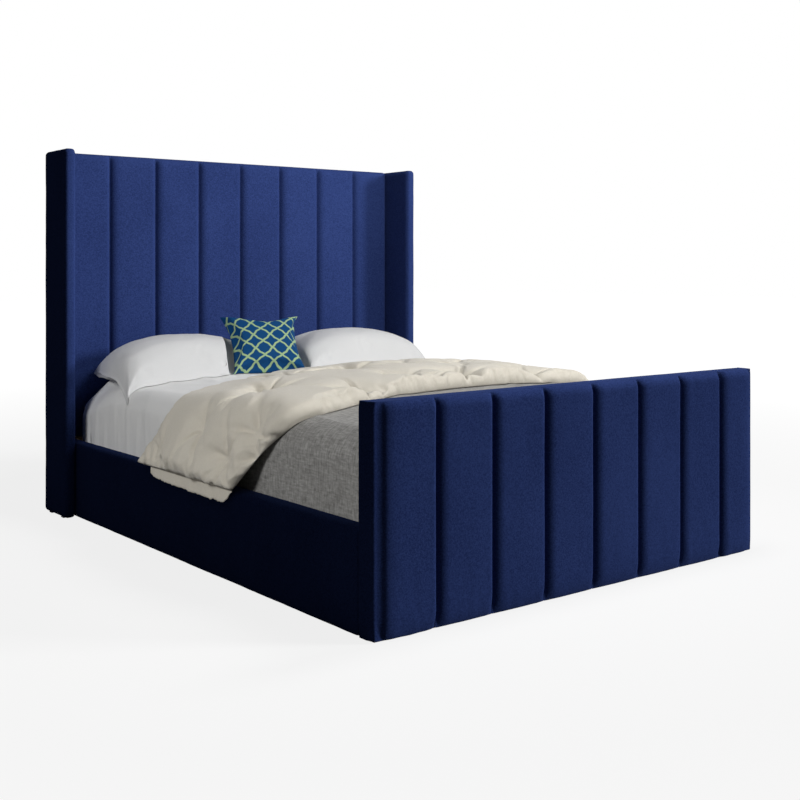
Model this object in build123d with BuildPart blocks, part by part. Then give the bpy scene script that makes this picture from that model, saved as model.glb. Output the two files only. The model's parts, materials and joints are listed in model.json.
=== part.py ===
from build123d import *
import math
import os

os.makedirs("parts", exist_ok=True)

# Upholstered wing bed for a king-size mattress, dressed with its bedding.
# Lengths are in millimetres. +Z is up, +Y runs from the foot of the bed to its head,
# and the origin lies on the floor under the middle of the bed.

# Driving sizes of the whole bed
mattress_width = 1500
mattress_length = 2000
mattress_fit = 8
rail_thickness = 61
rail_height = 292
footboard_height = 627
footboard_thickness = 80
headboard_height = 1437
headboard_thickness = 58
wing_thickness = 45
wing_depth = 217
floor_gap = 4
channel_count = 8

inner_half_width = mattress_width / 2 + mattress_fit
outer_half_width = inner_half_width + rail_thickness
inner_length = mattress_length + 2 * mattress_fit
overall_length = footboard_thickness + inner_length + headboard_thickness
foot_front = -overall_length / 2
foot_back = foot_front + footboard_thickness
head_back = overall_length / 2
head_front = head_back - headboard_thickness
channel_pitch = 2 * outer_half_width / channel_count

# Timber, boards and covers of the frame
board_thickness = 6
stile_width = 110
cross_rail_height = 70
lower_rail_bottom = 150
lining_thickness = 2
contact_gap = 0.3

# Channels: upright foam rolls sewn side by side
channel_crown = 9
channel_shoulder = 7
groove_width = 1

# Steel fixings
plate_thickness = 3
bolt_radius = 4
bolt_play = 0.3
bolt_head_radius = 6.5
bolt_head_height = 5
bolt_sides = 8
bolt_head_sides = 6

SIDES = (("left", -1), ("right", 1))


def save(piece, label):
    """Names a finished piece and writes its file."""
    piece.part.label = label
    export_step(piece.part, f"parts/{label}.step")


def block(low, high, mode=Mode.ADD):
    """A square-edged block between two opposite corners."""
    with Locations(tuple((a + b) / 2 for a, b in zip(low, high))):
        Box(*(abs(b - a) for a, b in zip(low, high)), mode=mode)


def facing(points, direction):
    """Places at the given points, each facing along the direction."""
    return [Plane(origin=point, z_dir=direction) for point in points]


def bolt_holes(points, direction, depth, radius=None):
    """Holes for bolts, sunk from the given points against the direction that they face."""
    with BuildSketch(*facing(points, direction)) as outlines:
        RegularPolygon(radius or bolt_radius + bolt_play, bolt_sides)
    extrude(outlines.sketch, amount=-depth, mode=Mode.SUBTRACT)


def bolts(points, direction, shank_length):
    """Hexagon bolts whose heads stand on the given points, their shanks going in behind."""
    with BuildSketch(*facing(points, direction)) as heads:
        RegularPolygon(bolt_head_radius, bolt_head_sides)
    extrude(heads.sketch, amount=bolt_head_height)
    with BuildSketch(*facing(points, direction)) as shanks:
        RegularPolygon(bolt_radius, bolt_sides)
    extrude(shanks.sketch, amount=-shank_length)


def rolled_side_view(back, front, bottom, top, roll_height, roll_depth):
    """The side view of a padded face: upright in front, rolled back at its top and bottom."""
    with BuildSketch(Plane.YZ) as view:
        with BuildLine():
            TangentArc(
                (front, top - roll_height), (front + roll_depth, top), tangent=(0, 1)
            )
            Polyline(
                (front + roll_depth, top), (back, top), (back, bottom), (front + roll_depth, bottom)
            )
            TangentArc(
                (front, bottom + roll_height), (front + roll_depth, bottom), tangent=(0, -1)
            )
            Line((front, bottom + roll_height), (front, top - roll_height))
        make_face()
    return view.sketch


def channel(label, left, right, back, front, bottom, top, roll_height, roll_depth):
    """One roll: flat behind, crowned in front, and rolled back at its top and bottom."""
    shoulder = front + channel_crown
    with BuildPart() as roll:
        with BuildSketch(Plane.XY.offset(bottom)) as plan:
            with BuildLine():
                Polyline((left, shoulder), (left, back), (right, back), (right, shoulder))
                ThreePointArc((right, shoulder), ((left + right) / 2, front), (left, shoulder))
            make_face()
            fillet(plan.vertices().sort_by(Axis.Y)[:2], channel_shoulder)
        extrude(amount=top - bottom)
        side_view = rolled_side_view(back, front, bottom, top, roll_height, roll_depth)
        extrude(side_view, amount=outer_half_width, both=True, mode=Mode.INTERSECT)
    save(roll, label)


def channel_row(name, half_width, back, front, bottom, top, roll_height, roll_depth):
    """Rolls at one pitch across the bed, the end ones stopping at the given half width."""
    for number in range(channel_count):
        left = -outer_half_width + number * channel_pitch
        right = left + channel_pitch
        channel(
            f"{name}_channel_{number + 1}",
            max(left, -half_width) + groove_width / 2,
            min(right, half_width) - groove_width / 2,
            back,
            front,
            bottom,
            top,
            roll_height,
            roll_depth,
        )


# Headboard, from the back: lining, timber frame, face board and channels, with a border on top
head_channel_depth = 22
head_border_height = 12
head_border_round = 5
head_middle_rail_bottom = 860
head_roll_height = 60
head_roll_depth = 16
head_channel_drop = 3

head_frame_back = head_back - lining_thickness
head_channel_back = head_front + head_channel_depth
head_frame_front = head_channel_back + board_thickness
head_frame_top = headboard_height - head_border_height
head_rail_reach = outer_half_width - stile_width

# Wings: a plywood board padded all round, bolted to the edge of the headboard
wing_board_thickness = 18
wing_front_padding = 16
wing_round = 14
wing_bolt_length = 70
wing_recess_radius = 7.5
wing_bolt_lowest = 240
wing_bolt_drop = 237
wing_bolt_count = 3

wing_padding = (wing_thickness - wing_board_thickness) / 2
wing_front = head_back - wing_depth
wing_board_front = wing_front + wing_front_padding
wing_board_top = headboard_height - wing_padding
wing_bolt_line = (head_frame_front + head_frame_back) / 2
wing_bolt_range = headboard_height - wing_bolt_drop - wing_bolt_lowest
wing_bolt_spacing = wing_bolt_range / (wing_bolt_count - 1)
wing_bolt_heights = [wing_bolt_lowest + n * wing_bolt_spacing for n in range(wing_bolt_count)]
wing_head_pocket = bolt_head_height + bolt_play

# Footboard: channels, face board, timber frame and back pad, with a roll round each end
foot_channel_depth = 24
foot_back_pad = 12
foot_border_height = 12
foot_border_round = 4
foot_end_pad = 12
foot_end_roll = 35
foot_end_round = 26
foot_end_set_back = 2
foot_roll_height = 44
foot_roll_depth = 22
foot_channel_drop = 2

foot_channel_back = foot_front + foot_channel_depth
foot_frame_front = foot_channel_back + board_thickness
foot_frame_back = foot_back - foot_back_pad
foot_frame_top = footboard_height - foot_border_height
foot_frame_half_width = outer_half_width - foot_end_pad
foot_rail_reach = foot_frame_half_width - stile_width

# Side rails: a timber board padded outside, over the top and a little way down inside
rail_board_thickness = 28
rail_inner_layer = 4
rail_top_layer = 14
rail_outer_round = 14
rail_inner_round = 3

rail_board_inner = inner_half_width + rail_inner_layer
rail_board_outer = rail_board_inner + rail_board_thickness
rail_board_top = rail_height - rail_top_layer

# Corner brackets: a steel angle at each end of each side rail
bracket_leg = 60
bracket_height = 120
bracket_bottom = 40
bracket_hole_reach = 35
bracket_hole_margin = 30
rail_bolt_grip = 24
foot_bolt_grip = 30
head_bolt_grip = 20
bracket_hole_heights = (
    bracket_bottom + bracket_hole_margin,
    bracket_bottom + bracket_height - bracket_hole_margin,
)
rail_hole_lines = (foot_back + bracket_hole_reach, head_channel_back - bracket_hole_reach)
end_hole_reach = rail_board_inner - bracket_hole_reach

# Slatted base: battens on the rails, a centre beam, and sprung slats in plastic holders
batten_width = 34
batten_height = 40
batten_top = 214
beam_width = 60
beam_height = 60
slat_width = 53
slat_thickness = 8
slat_bow = 8
slat_count = 14
slat_margin = 75
slat_end_play = 1
holder_wall = 3
holder_play = 1
holder_grip = 30
holder_end_wall = 6
holder_web = 8
pocket_rise = 3

beam_bottom = batten_top - beam_height
beam_start = foot_back + plate_thickness
beam_end = head_channel_back - plate_thickness
pocket_height = slat_thickness + pocket_rise
holder_height = 2 * holder_wall + pocket_height
holder_width = slat_width + holder_play + 2 * holder_wall
side_holder_outer = inner_half_width - contact_gap
side_holder_inner = side_holder_outer - holder_end_wall - holder_grip
centre_holder_reach = holder_web / 2 + holder_grip
slat_inner_end = holder_web / 2 + slat_end_play
slat_outer_end = side_holder_outer - holder_end_wall - slat_end_play
slat_bottom = batten_top + holder_wall
slat_crown = slat_bottom + slat_bow + slat_thickness
slat_pitch = (inner_length - 2 * slat_margin) / (slat_count - 1)
slat_lines = [foot_back + slat_margin + n * slat_pitch for n in range(slat_count)]

# Beam hangers: a steel stirrup at each end of the centre beam
hanger_half_width = 62
hanger_reach = 45
hanger_side_height = 48
hanger_hole_offset = 48
hanger_hole_height = beam_bottom + beam_height / 2
hanger_bottom = beam_bottom - plate_thickness
hanger_inner = beam_width / 2 + contact_gap
hanger_outer = hanger_inner + plate_thickness

# Centre legs and the glides that the bed stands on
leg_radius = 25
leg_spread = 1040
leg_plate = 90
leg_plate_thickness = 4
glide_side = 25
glide_inset = 40

# Headboard frame
for side_name, side in SIDES:
    outer = side * outer_half_width
    with BuildPart() as stile:
        block(
            (outer, head_frame_front, floor_gap),
            (outer - side * stile_width, head_frame_back, head_frame_top),
        )
        edge_points = [(outer, wing_bolt_line, height) for height in wing_bolt_heights]
        bolt_holes(edge_points, (side, 0, 0), wing_bolt_length)
        face_points = [
            (side * end_hole_reach, head_frame_front, height) for height in bracket_hole_heights
        ]
        bolt_holes(face_points, (0, -1, 0), head_bolt_grip)
    save(stile, f"headboard_stile_{side_name}")

for rail_name, rail_bottom in (
    ("top", head_frame_top - cross_rail_height),
    ("middle", head_middle_rail_bottom),
    ("lower", lower_rail_bottom),
):
    with BuildPart() as cross_rail:
        block(
            (-head_rail_reach, head_frame_front, rail_bottom),
            (head_rail_reach, head_frame_back, rail_bottom + cross_rail_height),
        )
        if rail_name == "lower":
            hanger_points = [
                (offset, head_frame_front, hanger_hole_height)
                for offset in (-hanger_hole_offset, hanger_hole_offset)
            ]
            bolt_holes(hanger_points, (0, -1, 0), head_bolt_grip)
    save(cross_rail, f"headboard_{rail_name}_rail")

with BuildPart() as head_face_board:
    block(
        (-outer_half_width, head_channel_back, floor_gap),
        (outer_half_width, head_frame_front, head_frame_top),
    )
    board_points = [
        (side * end_hole_reach, head_channel_back, height)
        for side in (-1, 1)
        for height in bracket_hole_heights
    ] + [
        (offset, head_channel_back, hanger_hole_height)
        for offset in (-hanger_hole_offset, hanger_hole_offset)
    ]
    bolt_holes(board_points, (0, -1, 0), board_thickness)
save(head_face_board, "headboard_face_board")

with BuildPart() as head_lining:
    block(
        (-outer_half_width, head_frame_back, floor_gap),
        (outer_half_width, head_back, head_frame_top),
    )
save(head_lining, "headboard_back_lining")

with BuildPart() as head_border:
    block(
        (-outer_half_width, head_channel_back, head_frame_top),
        (outer_half_width, head_back, headboard_height),
    )
    top_edges = head_border.faces().sort_by(Axis.Z)[-1].edges().filter_by(Axis.X)
    fillet(top_edges, head_border_round)
save(head_border, "headboard_top_border")

channel_row(
    "headboard",
    outer_half_width,
    head_channel_back,
    head_front,
    rail_height + mattress_fit,
    headboard_height - head_channel_drop,
    head_roll_height,
    head_roll_depth,
)

# Wings
for side_name, side in SIDES:
    inner = side * outer_half_width
    outer = side * (outer_half_width + wing_thickness)
    board_inner = inner + side * wing_padding
    board_outer = outer - side * wing_padding
    head_points = [(board_outer, wing_bolt_line, height) for height in wing_bolt_heights]
    pad_points = [(board_inner, wing_bolt_line, height) for height in wing_bolt_heights]
    pocket_low = (board_inner, wing_board_front, floor_gap)
    pocket_high = (board_outer, head_frame_back, wing_board_top)
    with BuildPart() as wing_board:
        block(pocket_low, pocket_high)
        bolt_holes(head_points, (side, 0, 0), wing_head_pocket, wing_recess_radius)
        bolt_holes(head_points, (side, 0, 0), wing_board_thickness)
    save(wing_board, f"wing_{side_name}_board")

    with BuildPart() as wing_pad:
        with BuildSketch(Plane.XY.offset(floor_gap)) as plan:
            with Locations(((inner + outer) / 2, (wing_front + head_back) / 2)):
                RectangleRounded(wing_thickness, wing_depth, wing_round)
        extrude(amount=headboard_height - floor_gap)
        for view, low, high in (
            (Plane.YZ, wing_front, head_back),
            (Plane.XZ, min(inner, outer), max(inner, outer)),
        ):
            with BuildSketch(view) as outline:
                with Locations(((low + high) / 2, (floor_gap + headboard_height) / 2)):
                    Rectangle(high - low, headboard_height - floor_gap)
                fillet(outline.vertices().group_by(Axis.Y)[-1], wing_round)
            extrude(amount=overall_length, both=True, mode=Mode.INTERSECT)
        block(pocket_low, pocket_high, mode=Mode.SUBTRACT)
        bolt_holes(pad_points, (side, 0, 0), wing_padding)
    save(wing_pad, f"wing_{side_name}_pad")

# Footboard frame
for side_name, side in SIDES:
    with BuildPart() as stile:
        block(
            (side * foot_frame_half_width, foot_frame_front, floor_gap),
            (side * foot_rail_reach, foot_frame_back, foot_frame_top),
        )
        face_points = [
            (side * end_hole_reach, foot_frame_back, height) for height in bracket_hole_heights
        ]
        bolt_holes(face_points, (0, 1, 0), foot_bolt_grip)
    save(stile, f"footboard_stile_{side_name}")

for rail_name, rail_bottom in (
    ("top", foot_frame_top - cross_rail_height),
    ("lower", lower_rail_bottom),
):
    with BuildPart() as cross_rail:
        block(
            (-foot_rail_reach, foot_frame_front, rail_bottom),
            (foot_rail_reach, foot_frame_back, rail_bottom + cross_rail_height),
        )
        if rail_name == "lower":
            hanger_points = [
                (offset, foot_frame_back, hanger_hole_height)
                for offset in (-hanger_hole_offset, hanger_hole_offset)
            ]
            bolt_holes(hanger_points, (0, 1, 0), foot_bolt_grip)
    save(cross_rail, f"footboard_{rail_name}_rail")

with BuildPart() as foot_face_board:
    block(
        (-foot_frame_half_width, foot_channel_back, floor_gap),
        (foot_frame_half_width, foot_frame_front, foot_frame_top),
    )
save(foot_face_board, "footboard_face_board")

with BuildPart() as foot_pad:
    block(
        (-foot_frame_half_width, foot_frame_back, floor_gap),
        (foot_frame_half_width, foot_back, foot_frame_top),
    )
    pad_points = [
        (side * end_hole_reach, foot_back, height)
        for side in (-1, 1)
        for height in bracket_hole_heights
    ] + [
        (offset, foot_back, hanger_hole_height)
        for offset in (-hanger_hole_offset, hanger_hole_offset)
    ]
    bolt_holes(pad_points, (0, 1, 0), foot_back_pad)
save(foot_pad, "footboard_back_pad")

with BuildPart() as foot_border:
    block(
        (-foot_frame_half_width, foot_channel_back, foot_frame_top),
        (foot_frame_half_width, foot_back, footboard_height),
    )
    top_edges = foot_border.faces().sort_by(Axis.Z)[-1].edges().filter_by(Axis.X)
    fillet(top_edges, foot_border_round)
save(foot_border, "footboard_top_border")

channel_row(
    "footboard",
    outer_half_width - foot_end_roll,
    foot_channel_back,
    foot_front,
    floor_gap,
    footboard_height - foot_channel_drop,
    foot_roll_height,
    foot_roll_depth,
)

# The end rolls close the footboard's ends and turn its front corners
for side_name, side in SIDES:
    end = side * outer_half_width
    roll_front = foot_front + foot_end_set_back
    with BuildPart() as end_roll:
        with BuildSketch(Plane.XY.offset(floor_gap)) as plan:
            with BuildLine():
                Polyline(
                    (end, foot_back),
                    (end, roll_front),
                    (end - side * foot_end_roll, roll_front),
                    (end - side * foot_end_roll, foot_channel_back),
                    (end - side * foot_end_pad, foot_channel_back),
                    (end - side * foot_end_pad, foot_back),
                    close=True,
                )
            make_face()
            front_corners = plan.vertices().group_by(Axis.Y)[0].sort_by(Axis.X)
            outer_corner = front_corners[0] if side < 0 else front_corners[-1]
            inner_corner = front_corners[-1] if side < 0 else front_corners[0]
            fillet(outer_corner, foot_end_round)
            fillet(inner_corner, channel_shoulder)
        extrude(amount=footboard_height - floor_gap)
        side_view = rolled_side_view(
            foot_back, roll_front, floor_gap, footboard_height, foot_roll_height, foot_roll_depth
        )
        extrude(side_view, amount=outer_half_width, both=True, mode=Mode.INTERSECT)
        with BuildSketch(Plane.XZ) as end_view:
            with BuildLine():
                Polyline(
                    (end, floor_gap),
                    (end, footboard_height),
                    (end - side * foot_end_roll, footboard_height),
                    (end - side * foot_end_roll, floor_gap),
                    close=True,
                )
            make_face()
            end_corners = end_view.vertices().group_by(Axis.X)
            fillet(end_corners[0] if side < 0 else end_corners[-1], channel_shoulder)
        extrude(amount=overall_length, both=True, mode=Mode.INTERSECT)
    save(end_roll, f"footboard_end_roll_{side_name}")

# Side rails
for side_name, side in SIDES:
    board_low = (side * rail_board_inner, foot_back, floor_gap)
    board_high = (side * rail_board_outer, head_channel_back, rail_board_top)
    with BuildPart() as rail_board:
        block(board_low, board_high)
        rail_points = [
            (side * rail_board_inner, line, height)
            for line in rail_hole_lines
            for height in bracket_hole_heights
        ]
        bolt_holes(rail_points, (-side, 0, 0), rail_bolt_grip)
    save(rail_board, f"side_rail_{side_name}_board")

    with BuildPart() as rail_pad:
        block(
            (side * inner_half_width, foot_back, floor_gap),
            (side * outer_half_width, head_channel_back, rail_height),
        )
        long_edges = rail_pad.edges().filter_by(Axis.Y).group_by(Axis.X)
        fillet(long_edges[0] if side < 0 else long_edges[-1], rail_outer_round)
        inner_edges = rail_pad.edges().filter_by(Axis.Y).group_by(Axis.X)
        inner_top = (inner_edges[-1] if side < 0 else inner_edges[0]).sort_by(Axis.Z)[-1]
        fillet(inner_top, rail_inner_round)
        block(board_low, board_high, mode=Mode.SUBTRACT)
        block(
            (side * inner_half_width, foot_back, floor_gap),
            (side * rail_board_inner, head_channel_back, batten_top),
            mode=Mode.SUBTRACT,
        )
    save(rail_pad, f"side_rail_{side_name}_pad")

    with BuildPart() as batten:
        block(
            (side * rail_board_inner, foot_back, batten_top - batten_height),
            (side * (rail_board_inner - batten_width), head_channel_back, batten_top),
        )
    save(batten, f"slat_batten_{side_name}")

# Corner brackets and their bolts
with BuildPart() as corner_brackets:
    for side_name, side in SIDES:
        for end_line, inward in ((foot_back, 1), (head_channel_back, -1)):
            heel = (side * rail_board_inner, end_line, bracket_bottom)
            top = bracket_bottom + bracket_height
            block(
                heel,
                (heel[0] - side * plate_thickness, end_line + inward * bracket_leg, top),
            )
            block(
                heel,
                (heel[0] - side * bracket_leg, end_line + inward * plate_thickness, top),
            )
            leg_points = [
                (
                    side * (rail_board_inner - plate_thickness),
                    end_line + inward * bracket_hole_reach,
                    height,
                )
                for height in bracket_hole_heights
            ]
            bolt_holes(leg_points, (-side, 0, 0), plate_thickness)
            end_points = [
                (side * end_hole_reach, end_line + inward * plate_thickness, height)
                for height in bracket_hole_heights
            ]
            bolt_holes(end_points, (0, inward, 0), plate_thickness)
save(corner_brackets, "corner_brackets")

with BuildPart() as frame_bolts:
    for side_name, side in SIDES:
        for end_line, inward, end_grip in (
            (foot_back, 1, foot_back_pad + foot_bolt_grip),
            (head_channel_back, -1, board_thickness + head_bolt_grip),
        ):
            rail_face = side * (rail_board_inner - plate_thickness)
            hole_line = end_line + inward * bracket_hole_reach
            rail_points = [(rail_face, hole_line, height) for height in bracket_hole_heights]
            bolts(rail_points, (-side, 0, 0), plate_thickness + rail_bolt_grip - bolt_play)
            end_face = end_line + inward * plate_thickness
            end_points = [
                (side * end_hole_reach, end_face, height) for height in bracket_hole_heights
            ]
            end_points.append((side * hanger_hole_offset, end_face, hanger_hole_height))
            bolts(end_points, (0, inward, 0), plate_thickness + end_grip - bolt_play)
        head_seat = side * (outer_half_width + wing_thickness - wing_padding - wing_head_pocket)
        wing_points = [(head_seat, wing_bolt_line, height) for height in wing_bolt_heights]
        bolts(wing_points, (side, 0, 0), wing_bolt_length)
save(frame_bolts, "frame_bolts")

# Slatted base
with BuildPart() as centre_beam:
    block(
        (-beam_width / 2, beam_start, beam_bottom),
        (beam_width / 2, beam_end, batten_top),
    )
save(centre_beam, "centre_beam")

with BuildPart() as beam_hangers:
    for end_line, inward in ((foot_back, 1), (head_channel_back, -1)):
        plate_face = end_line + inward * plate_thickness
        cup_end = plate_face + inward * hanger_reach
        block(
            (-hanger_half_width, end_line, hanger_bottom),
            (hanger_half_width, plate_face, batten_top),
        )
        block(
            (-hanger_outer, plate_face, hanger_bottom),
            (hanger_outer, cup_end, beam_bottom),
        )
        for side in (-1, 1):
            block(
                (side * hanger_inner, plate_face, beam_bottom),
                (side * hanger_outer, cup_end, beam_bottom + hanger_side_height),
            )
        plate_points = [
            (offset, plate_face, hanger_hole_height)
            for offset in (-hanger_hole_offset, hanger_hole_offset)
        ]
        bolt_holes(plate_points, (0, inward, 0), plate_thickness)
save(beam_hangers, "beam_hangers")

with BuildPart() as centre_legs:
    with BuildSketch(Plane.XY.offset(floor_gap)):
        with GridLocations(0, leg_spread, 1, 2):
            Circle(leg_radius)
    extrude(amount=beam_bottom - floor_gap)
    with BuildSketch(Plane.XY.offset(beam_bottom - leg_plate_thickness)):
        with GridLocations(0, leg_spread, 1, 2):
            Rectangle(leg_plate, leg_plate)
    extrude(amount=leg_plate_thickness)
save(centre_legs, "centre_legs")

with BuildPart() as floor_glides:
    wing_line = outer_half_width + wing_thickness / 2
    rail_line = (rail_board_inner + rail_board_outer) / 2
    glide_points = [
        (side * wing_line, line)
        for side in (-1, 1)
        for line in (wing_board_front + glide_inset, head_frame_back - glide_inset)
    ]
    glide_points += [
        (side * rail_line, line)
        for side in (-1, 1)
        for line in (foot_back + glide_inset, 0, wing_front - glide_inset)
    ]
    glide_points += [
        (side * (foot_frame_half_width - glide_inset), (foot_frame_front + foot_frame_back) / 2)
        for side in (-1, 1)
    ]
    glide_points += [(0, -leg_spread / 2), (0, leg_spread / 2)]
    with BuildSketch():
        with Locations(*glide_points):
            Rectangle(glide_side, glide_side)
    extrude(amount=floor_gap)
save(floor_glides, "floor_glides")

for side_name, side in SIDES:
    slat_middle = (slat_inner_end + slat_outer_end) / 2
    with BuildPart() as slats:
        for line in slat_lines:
            with BuildSketch(Plane.XZ.offset(-line)):
                with BuildLine():
                    inner_x = side * slat_inner_end
                    middle_x = side * slat_middle
                    outer_x = side * slat_outer_end
                    slat_top = slat_bottom + slat_thickness
                    ThreePointArc(
                        (inner_x, slat_bottom),
                        (middle_x, slat_bottom + slat_bow),
                        (outer_x, slat_bottom),
                    )
                    Line((outer_x, slat_bottom), (outer_x, slat_top))
                    ThreePointArc(
                        (outer_x, slat_top),
                        (middle_x, slat_crown),
                        (inner_x, slat_top),
                    )
                    Line((inner_x, slat_top), (inner_x, slat_bottom))
                make_face()
            extrude(amount=slat_width / 2, both=True)
    save(slats, f"slats_{side_name}")

with BuildPart() as side_holders:
    for side_name, side in SIDES:
        for line in slat_lines:
            block(
                (side * side_holder_inner, line - holder_width / 2, batten_top),
                (side * side_holder_outer, line + holder_width / 2, batten_top + holder_height),
            )
            pocket_half = (slat_width + holder_play) / 2
            block(
                (side * side_holder_inner, line - pocket_half, slat_bottom),
                (
                    side * (side_holder_outer - holder_end_wall),
                    line + pocket_half,
                    slat_bottom + pocket_height,
                ),
                mode=Mode.SUBTRACT,
            )
save(side_holders, "slat_side_holders")

with BuildPart() as centre_holders:
    for line in slat_lines:
        block(
            (-centre_holder_reach, line - holder_width / 2, batten_top),
            (centre_holder_reach, line + holder_width / 2, batten_top + holder_height),
        )
        pocket_half = (slat_width + holder_play) / 2
        for side in (-1, 1):
            block(
                (side * holder_web / 2, line - pocket_half, slat_bottom),
                (side * centre_holder_reach, line + pocket_half, slat_bottom + pocket_height),
                mode=Mode.SUBTRACT,
            )
save(centre_holders, "slat_centre_holders")

# Mattress and the cloths stretched over it
mattress_edge_top = 510
mattress_crown = 35
mattress_end_crown = 15
mattress_corner = 75
mattress_top_round = 80
mattress_bottom_round = 25
sheet_thickness = 2
sheet_hem_height = 50
cover_thickness = 3
cover_length_share = 0.47

mattress_bottom = slat_crown + contact_gap
mattress_top = mattress_edge_top + mattress_crown
mattress_middle = foot_back + mattress_fit + mattress_length / 2
cover_outside = sheet_thickness + cover_thickness
cover_head_edge = foot_back + cover_length_share * mattress_length
hem_height = mattress_bottom + sheet_hem_height


def crowned_block(grow):
    """The mattress's crowned form with rounded edges and corners, grown all round."""
    half_width = mattress_width / 2 + grow
    half_length = mattress_length / 2 + grow
    bottom = mattress_bottom - grow
    top = mattress_top + grow
    with BuildPart() as form:
        with BuildSketch(Plane.XY.offset(bottom)):
            with Locations((0, mattress_middle)):
                RectangleRounded(2 * half_width, 2 * half_length, mattress_corner + grow)
        extrude(amount=top - bottom)
        for view, middle, half, crown, reach in (
            (Plane.XZ, 0, half_width, mattress_crown, overall_length),
            (Plane.YZ, mattress_middle, half_length, mattress_end_crown, outer_half_width),
        ):
            with BuildSketch(view) as section:
                with BuildLine():
                    Polyline(
                        (middle - half, top - crown),
                        (middle - half, bottom),
                        (middle + half, bottom),
                        (middle + half, top - crown),
                    )
                    ThreePointArc(
                        (middle + half, top - crown),
                        (middle, top),
                        (middle - half, top - crown),
                    )
                make_face()
                corners = section.vertices().group_by(Axis.Y)
                fillet(corners[-1], mattress_top_round + grow)
                corners = section.vertices().group_by(Axis.Y)
                fillet(corners[0], mattress_bottom_round + grow)
            extrude(amount=reach, both=True, mode=Mode.INTERSECT)
    return form.part


mattress_form = crowned_block(0)
sheet_form = crowned_block(sheet_thickness)
cover_form = crowned_block(cover_outside)
comforter_rest = crowned_block(cover_outside + contact_gap)
pillow_rest = crowned_block(sheet_thickness + contact_gap)

with BuildPart() as mattress:
    add(mattress_form)
save(mattress, "mattress")

with BuildPart() as fitted_sheet:
    add(sheet_form)
    add(mattress_form, mode=Mode.SUBTRACT)
    block(
        (-overall_length, -overall_length, 0),
        (overall_length, overall_length, hem_height),
        mode=Mode.SUBTRACT,
    )
save(fitted_sheet, "fitted_sheet")

# The foot cover's upper edge lies hidden under the comforter
with BuildPart() as foot_cover:
    add(cover_form)
    add(sheet_form, mode=Mode.SUBTRACT)
    block(
        (-overall_length, -overall_length, 0),
        (overall_length, overall_length, hem_height),
        mode=Mode.SUBTRACT,
    )
    block(
        (-overall_length, cover_head_edge, 0),
        (overall_length, overall_length, headboard_height),
        mode=Mode.SUBTRACT,
    )
save(foot_cover, "foot_cover")

# Comforter: a folded, box-stitched quilt laid aslant across the bed, hanging over both rails.
# Its seams across the quilt run from the right hem to the left one. Each has its share of the
# bed's half width, its drop below the crest, and its two ends along the bed, measured from the
# middle of the mattress.
comforter_across_shares = (1.013, 0.946, 0.882, 0.61, 0.305, 0, -0.305, -0.61, -0.882, -0.946, -1.013)
comforter_drops = (294, 111, 39, 15, 2, 0, 2, 15, 39, 111, 294)
comforter_foot_ends = (-331, -352, -363, -381, -401, -421, -466, -511, -641, -586, -351)
comforter_head_ends = (559, 552, 550, 529, 508, 475, 384, 279, 154, 179, 270)
comforter_rows = 4
comforter_thickness = 18
comforter_underlap = 6
comforter_puff = 34
comforter_puff_share = 0.16
comforter_puff_steps = 4
comforter_stitch_share = 0.97
flatness = 0.001

crest = mattress_top + cover_outside + contact_gap
comforter_seams = [
    (share * outer_half_width, drop, mattress_middle + foot, mattress_middle + head)
    for share, drop, foot, head in zip(
        comforter_across_shares, comforter_drops, comforter_foot_ends, comforter_head_ends
    )
]


def seam_point(seam, place, lift):
    """A point of a seam of the quilt, at a place along the bed, lifted off the seam's line."""
    across, drop = comforter_seams[seam][:2]
    return Vector(across, place, crest - drop) + seam_lifts[seam] * lift


def row_place(seam, row):
    """Where a row of boxes starts along a seam."""
    foot, head = comforter_seams[seam][2:]
    return foot + (head - foot) * row / comforter_rows


strip_normals = []
for (x_start, drop_start, *_), (x_end, drop_end, *_) in zip(comforter_seams, comforter_seams[1:]):
    along = Vector(x_end - x_start, 0, drop_start - drop_end).normalized()
    strip_normals.append(Vector(0, 1, 0).cross(along))

# Each seam is lifted along the middle direction of the strips beside it
seam_lifts = [strip_normals[0]]
for before, after in zip(strip_normals, strip_normals[1:]):
    middle = (before + after).normalized()
    seam_lifts.append(middle / middle.dot(before))
seam_lifts.append(strip_normals[-1])

quilt_rings = []
for seam, (_, _, foot, head) in enumerate(comforter_seams):
    quilt_rings.append(
        [
            seam_point(seam, foot, -comforter_underlap),
            seam_point(seam, foot, comforter_thickness),
            seam_point(seam, head, comforter_thickness),
            seam_point(seam, head, -comforter_underlap),
        ]
    )


def flat_sided(rings):
    """A solid with flat sides through rings of four corners, closed at its first and last."""
    faces = [Face(Wire.make_polygon(rings[0])), Face(Wire.make_polygon(rings[-1]))]
    for ring, following in zip(rings, rings[1:]):
        for corner in range(len(ring)):
            a, b, c, d = ring[corner - 1], ring[corner], following[corner], following[corner - 1]
            if abs((b - a).cross(d - a).normalized().dot(c - a)) < flatness:
                faces.append(Face(Wire.make_polygon([a, b, c, d])))
            else:
                faces.append(Face(Wire.make_polygon([a, b, c])))
                faces.append(Face(Wire.make_polygon([a, c, d])))
    return Solid(Shell(faces))


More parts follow.
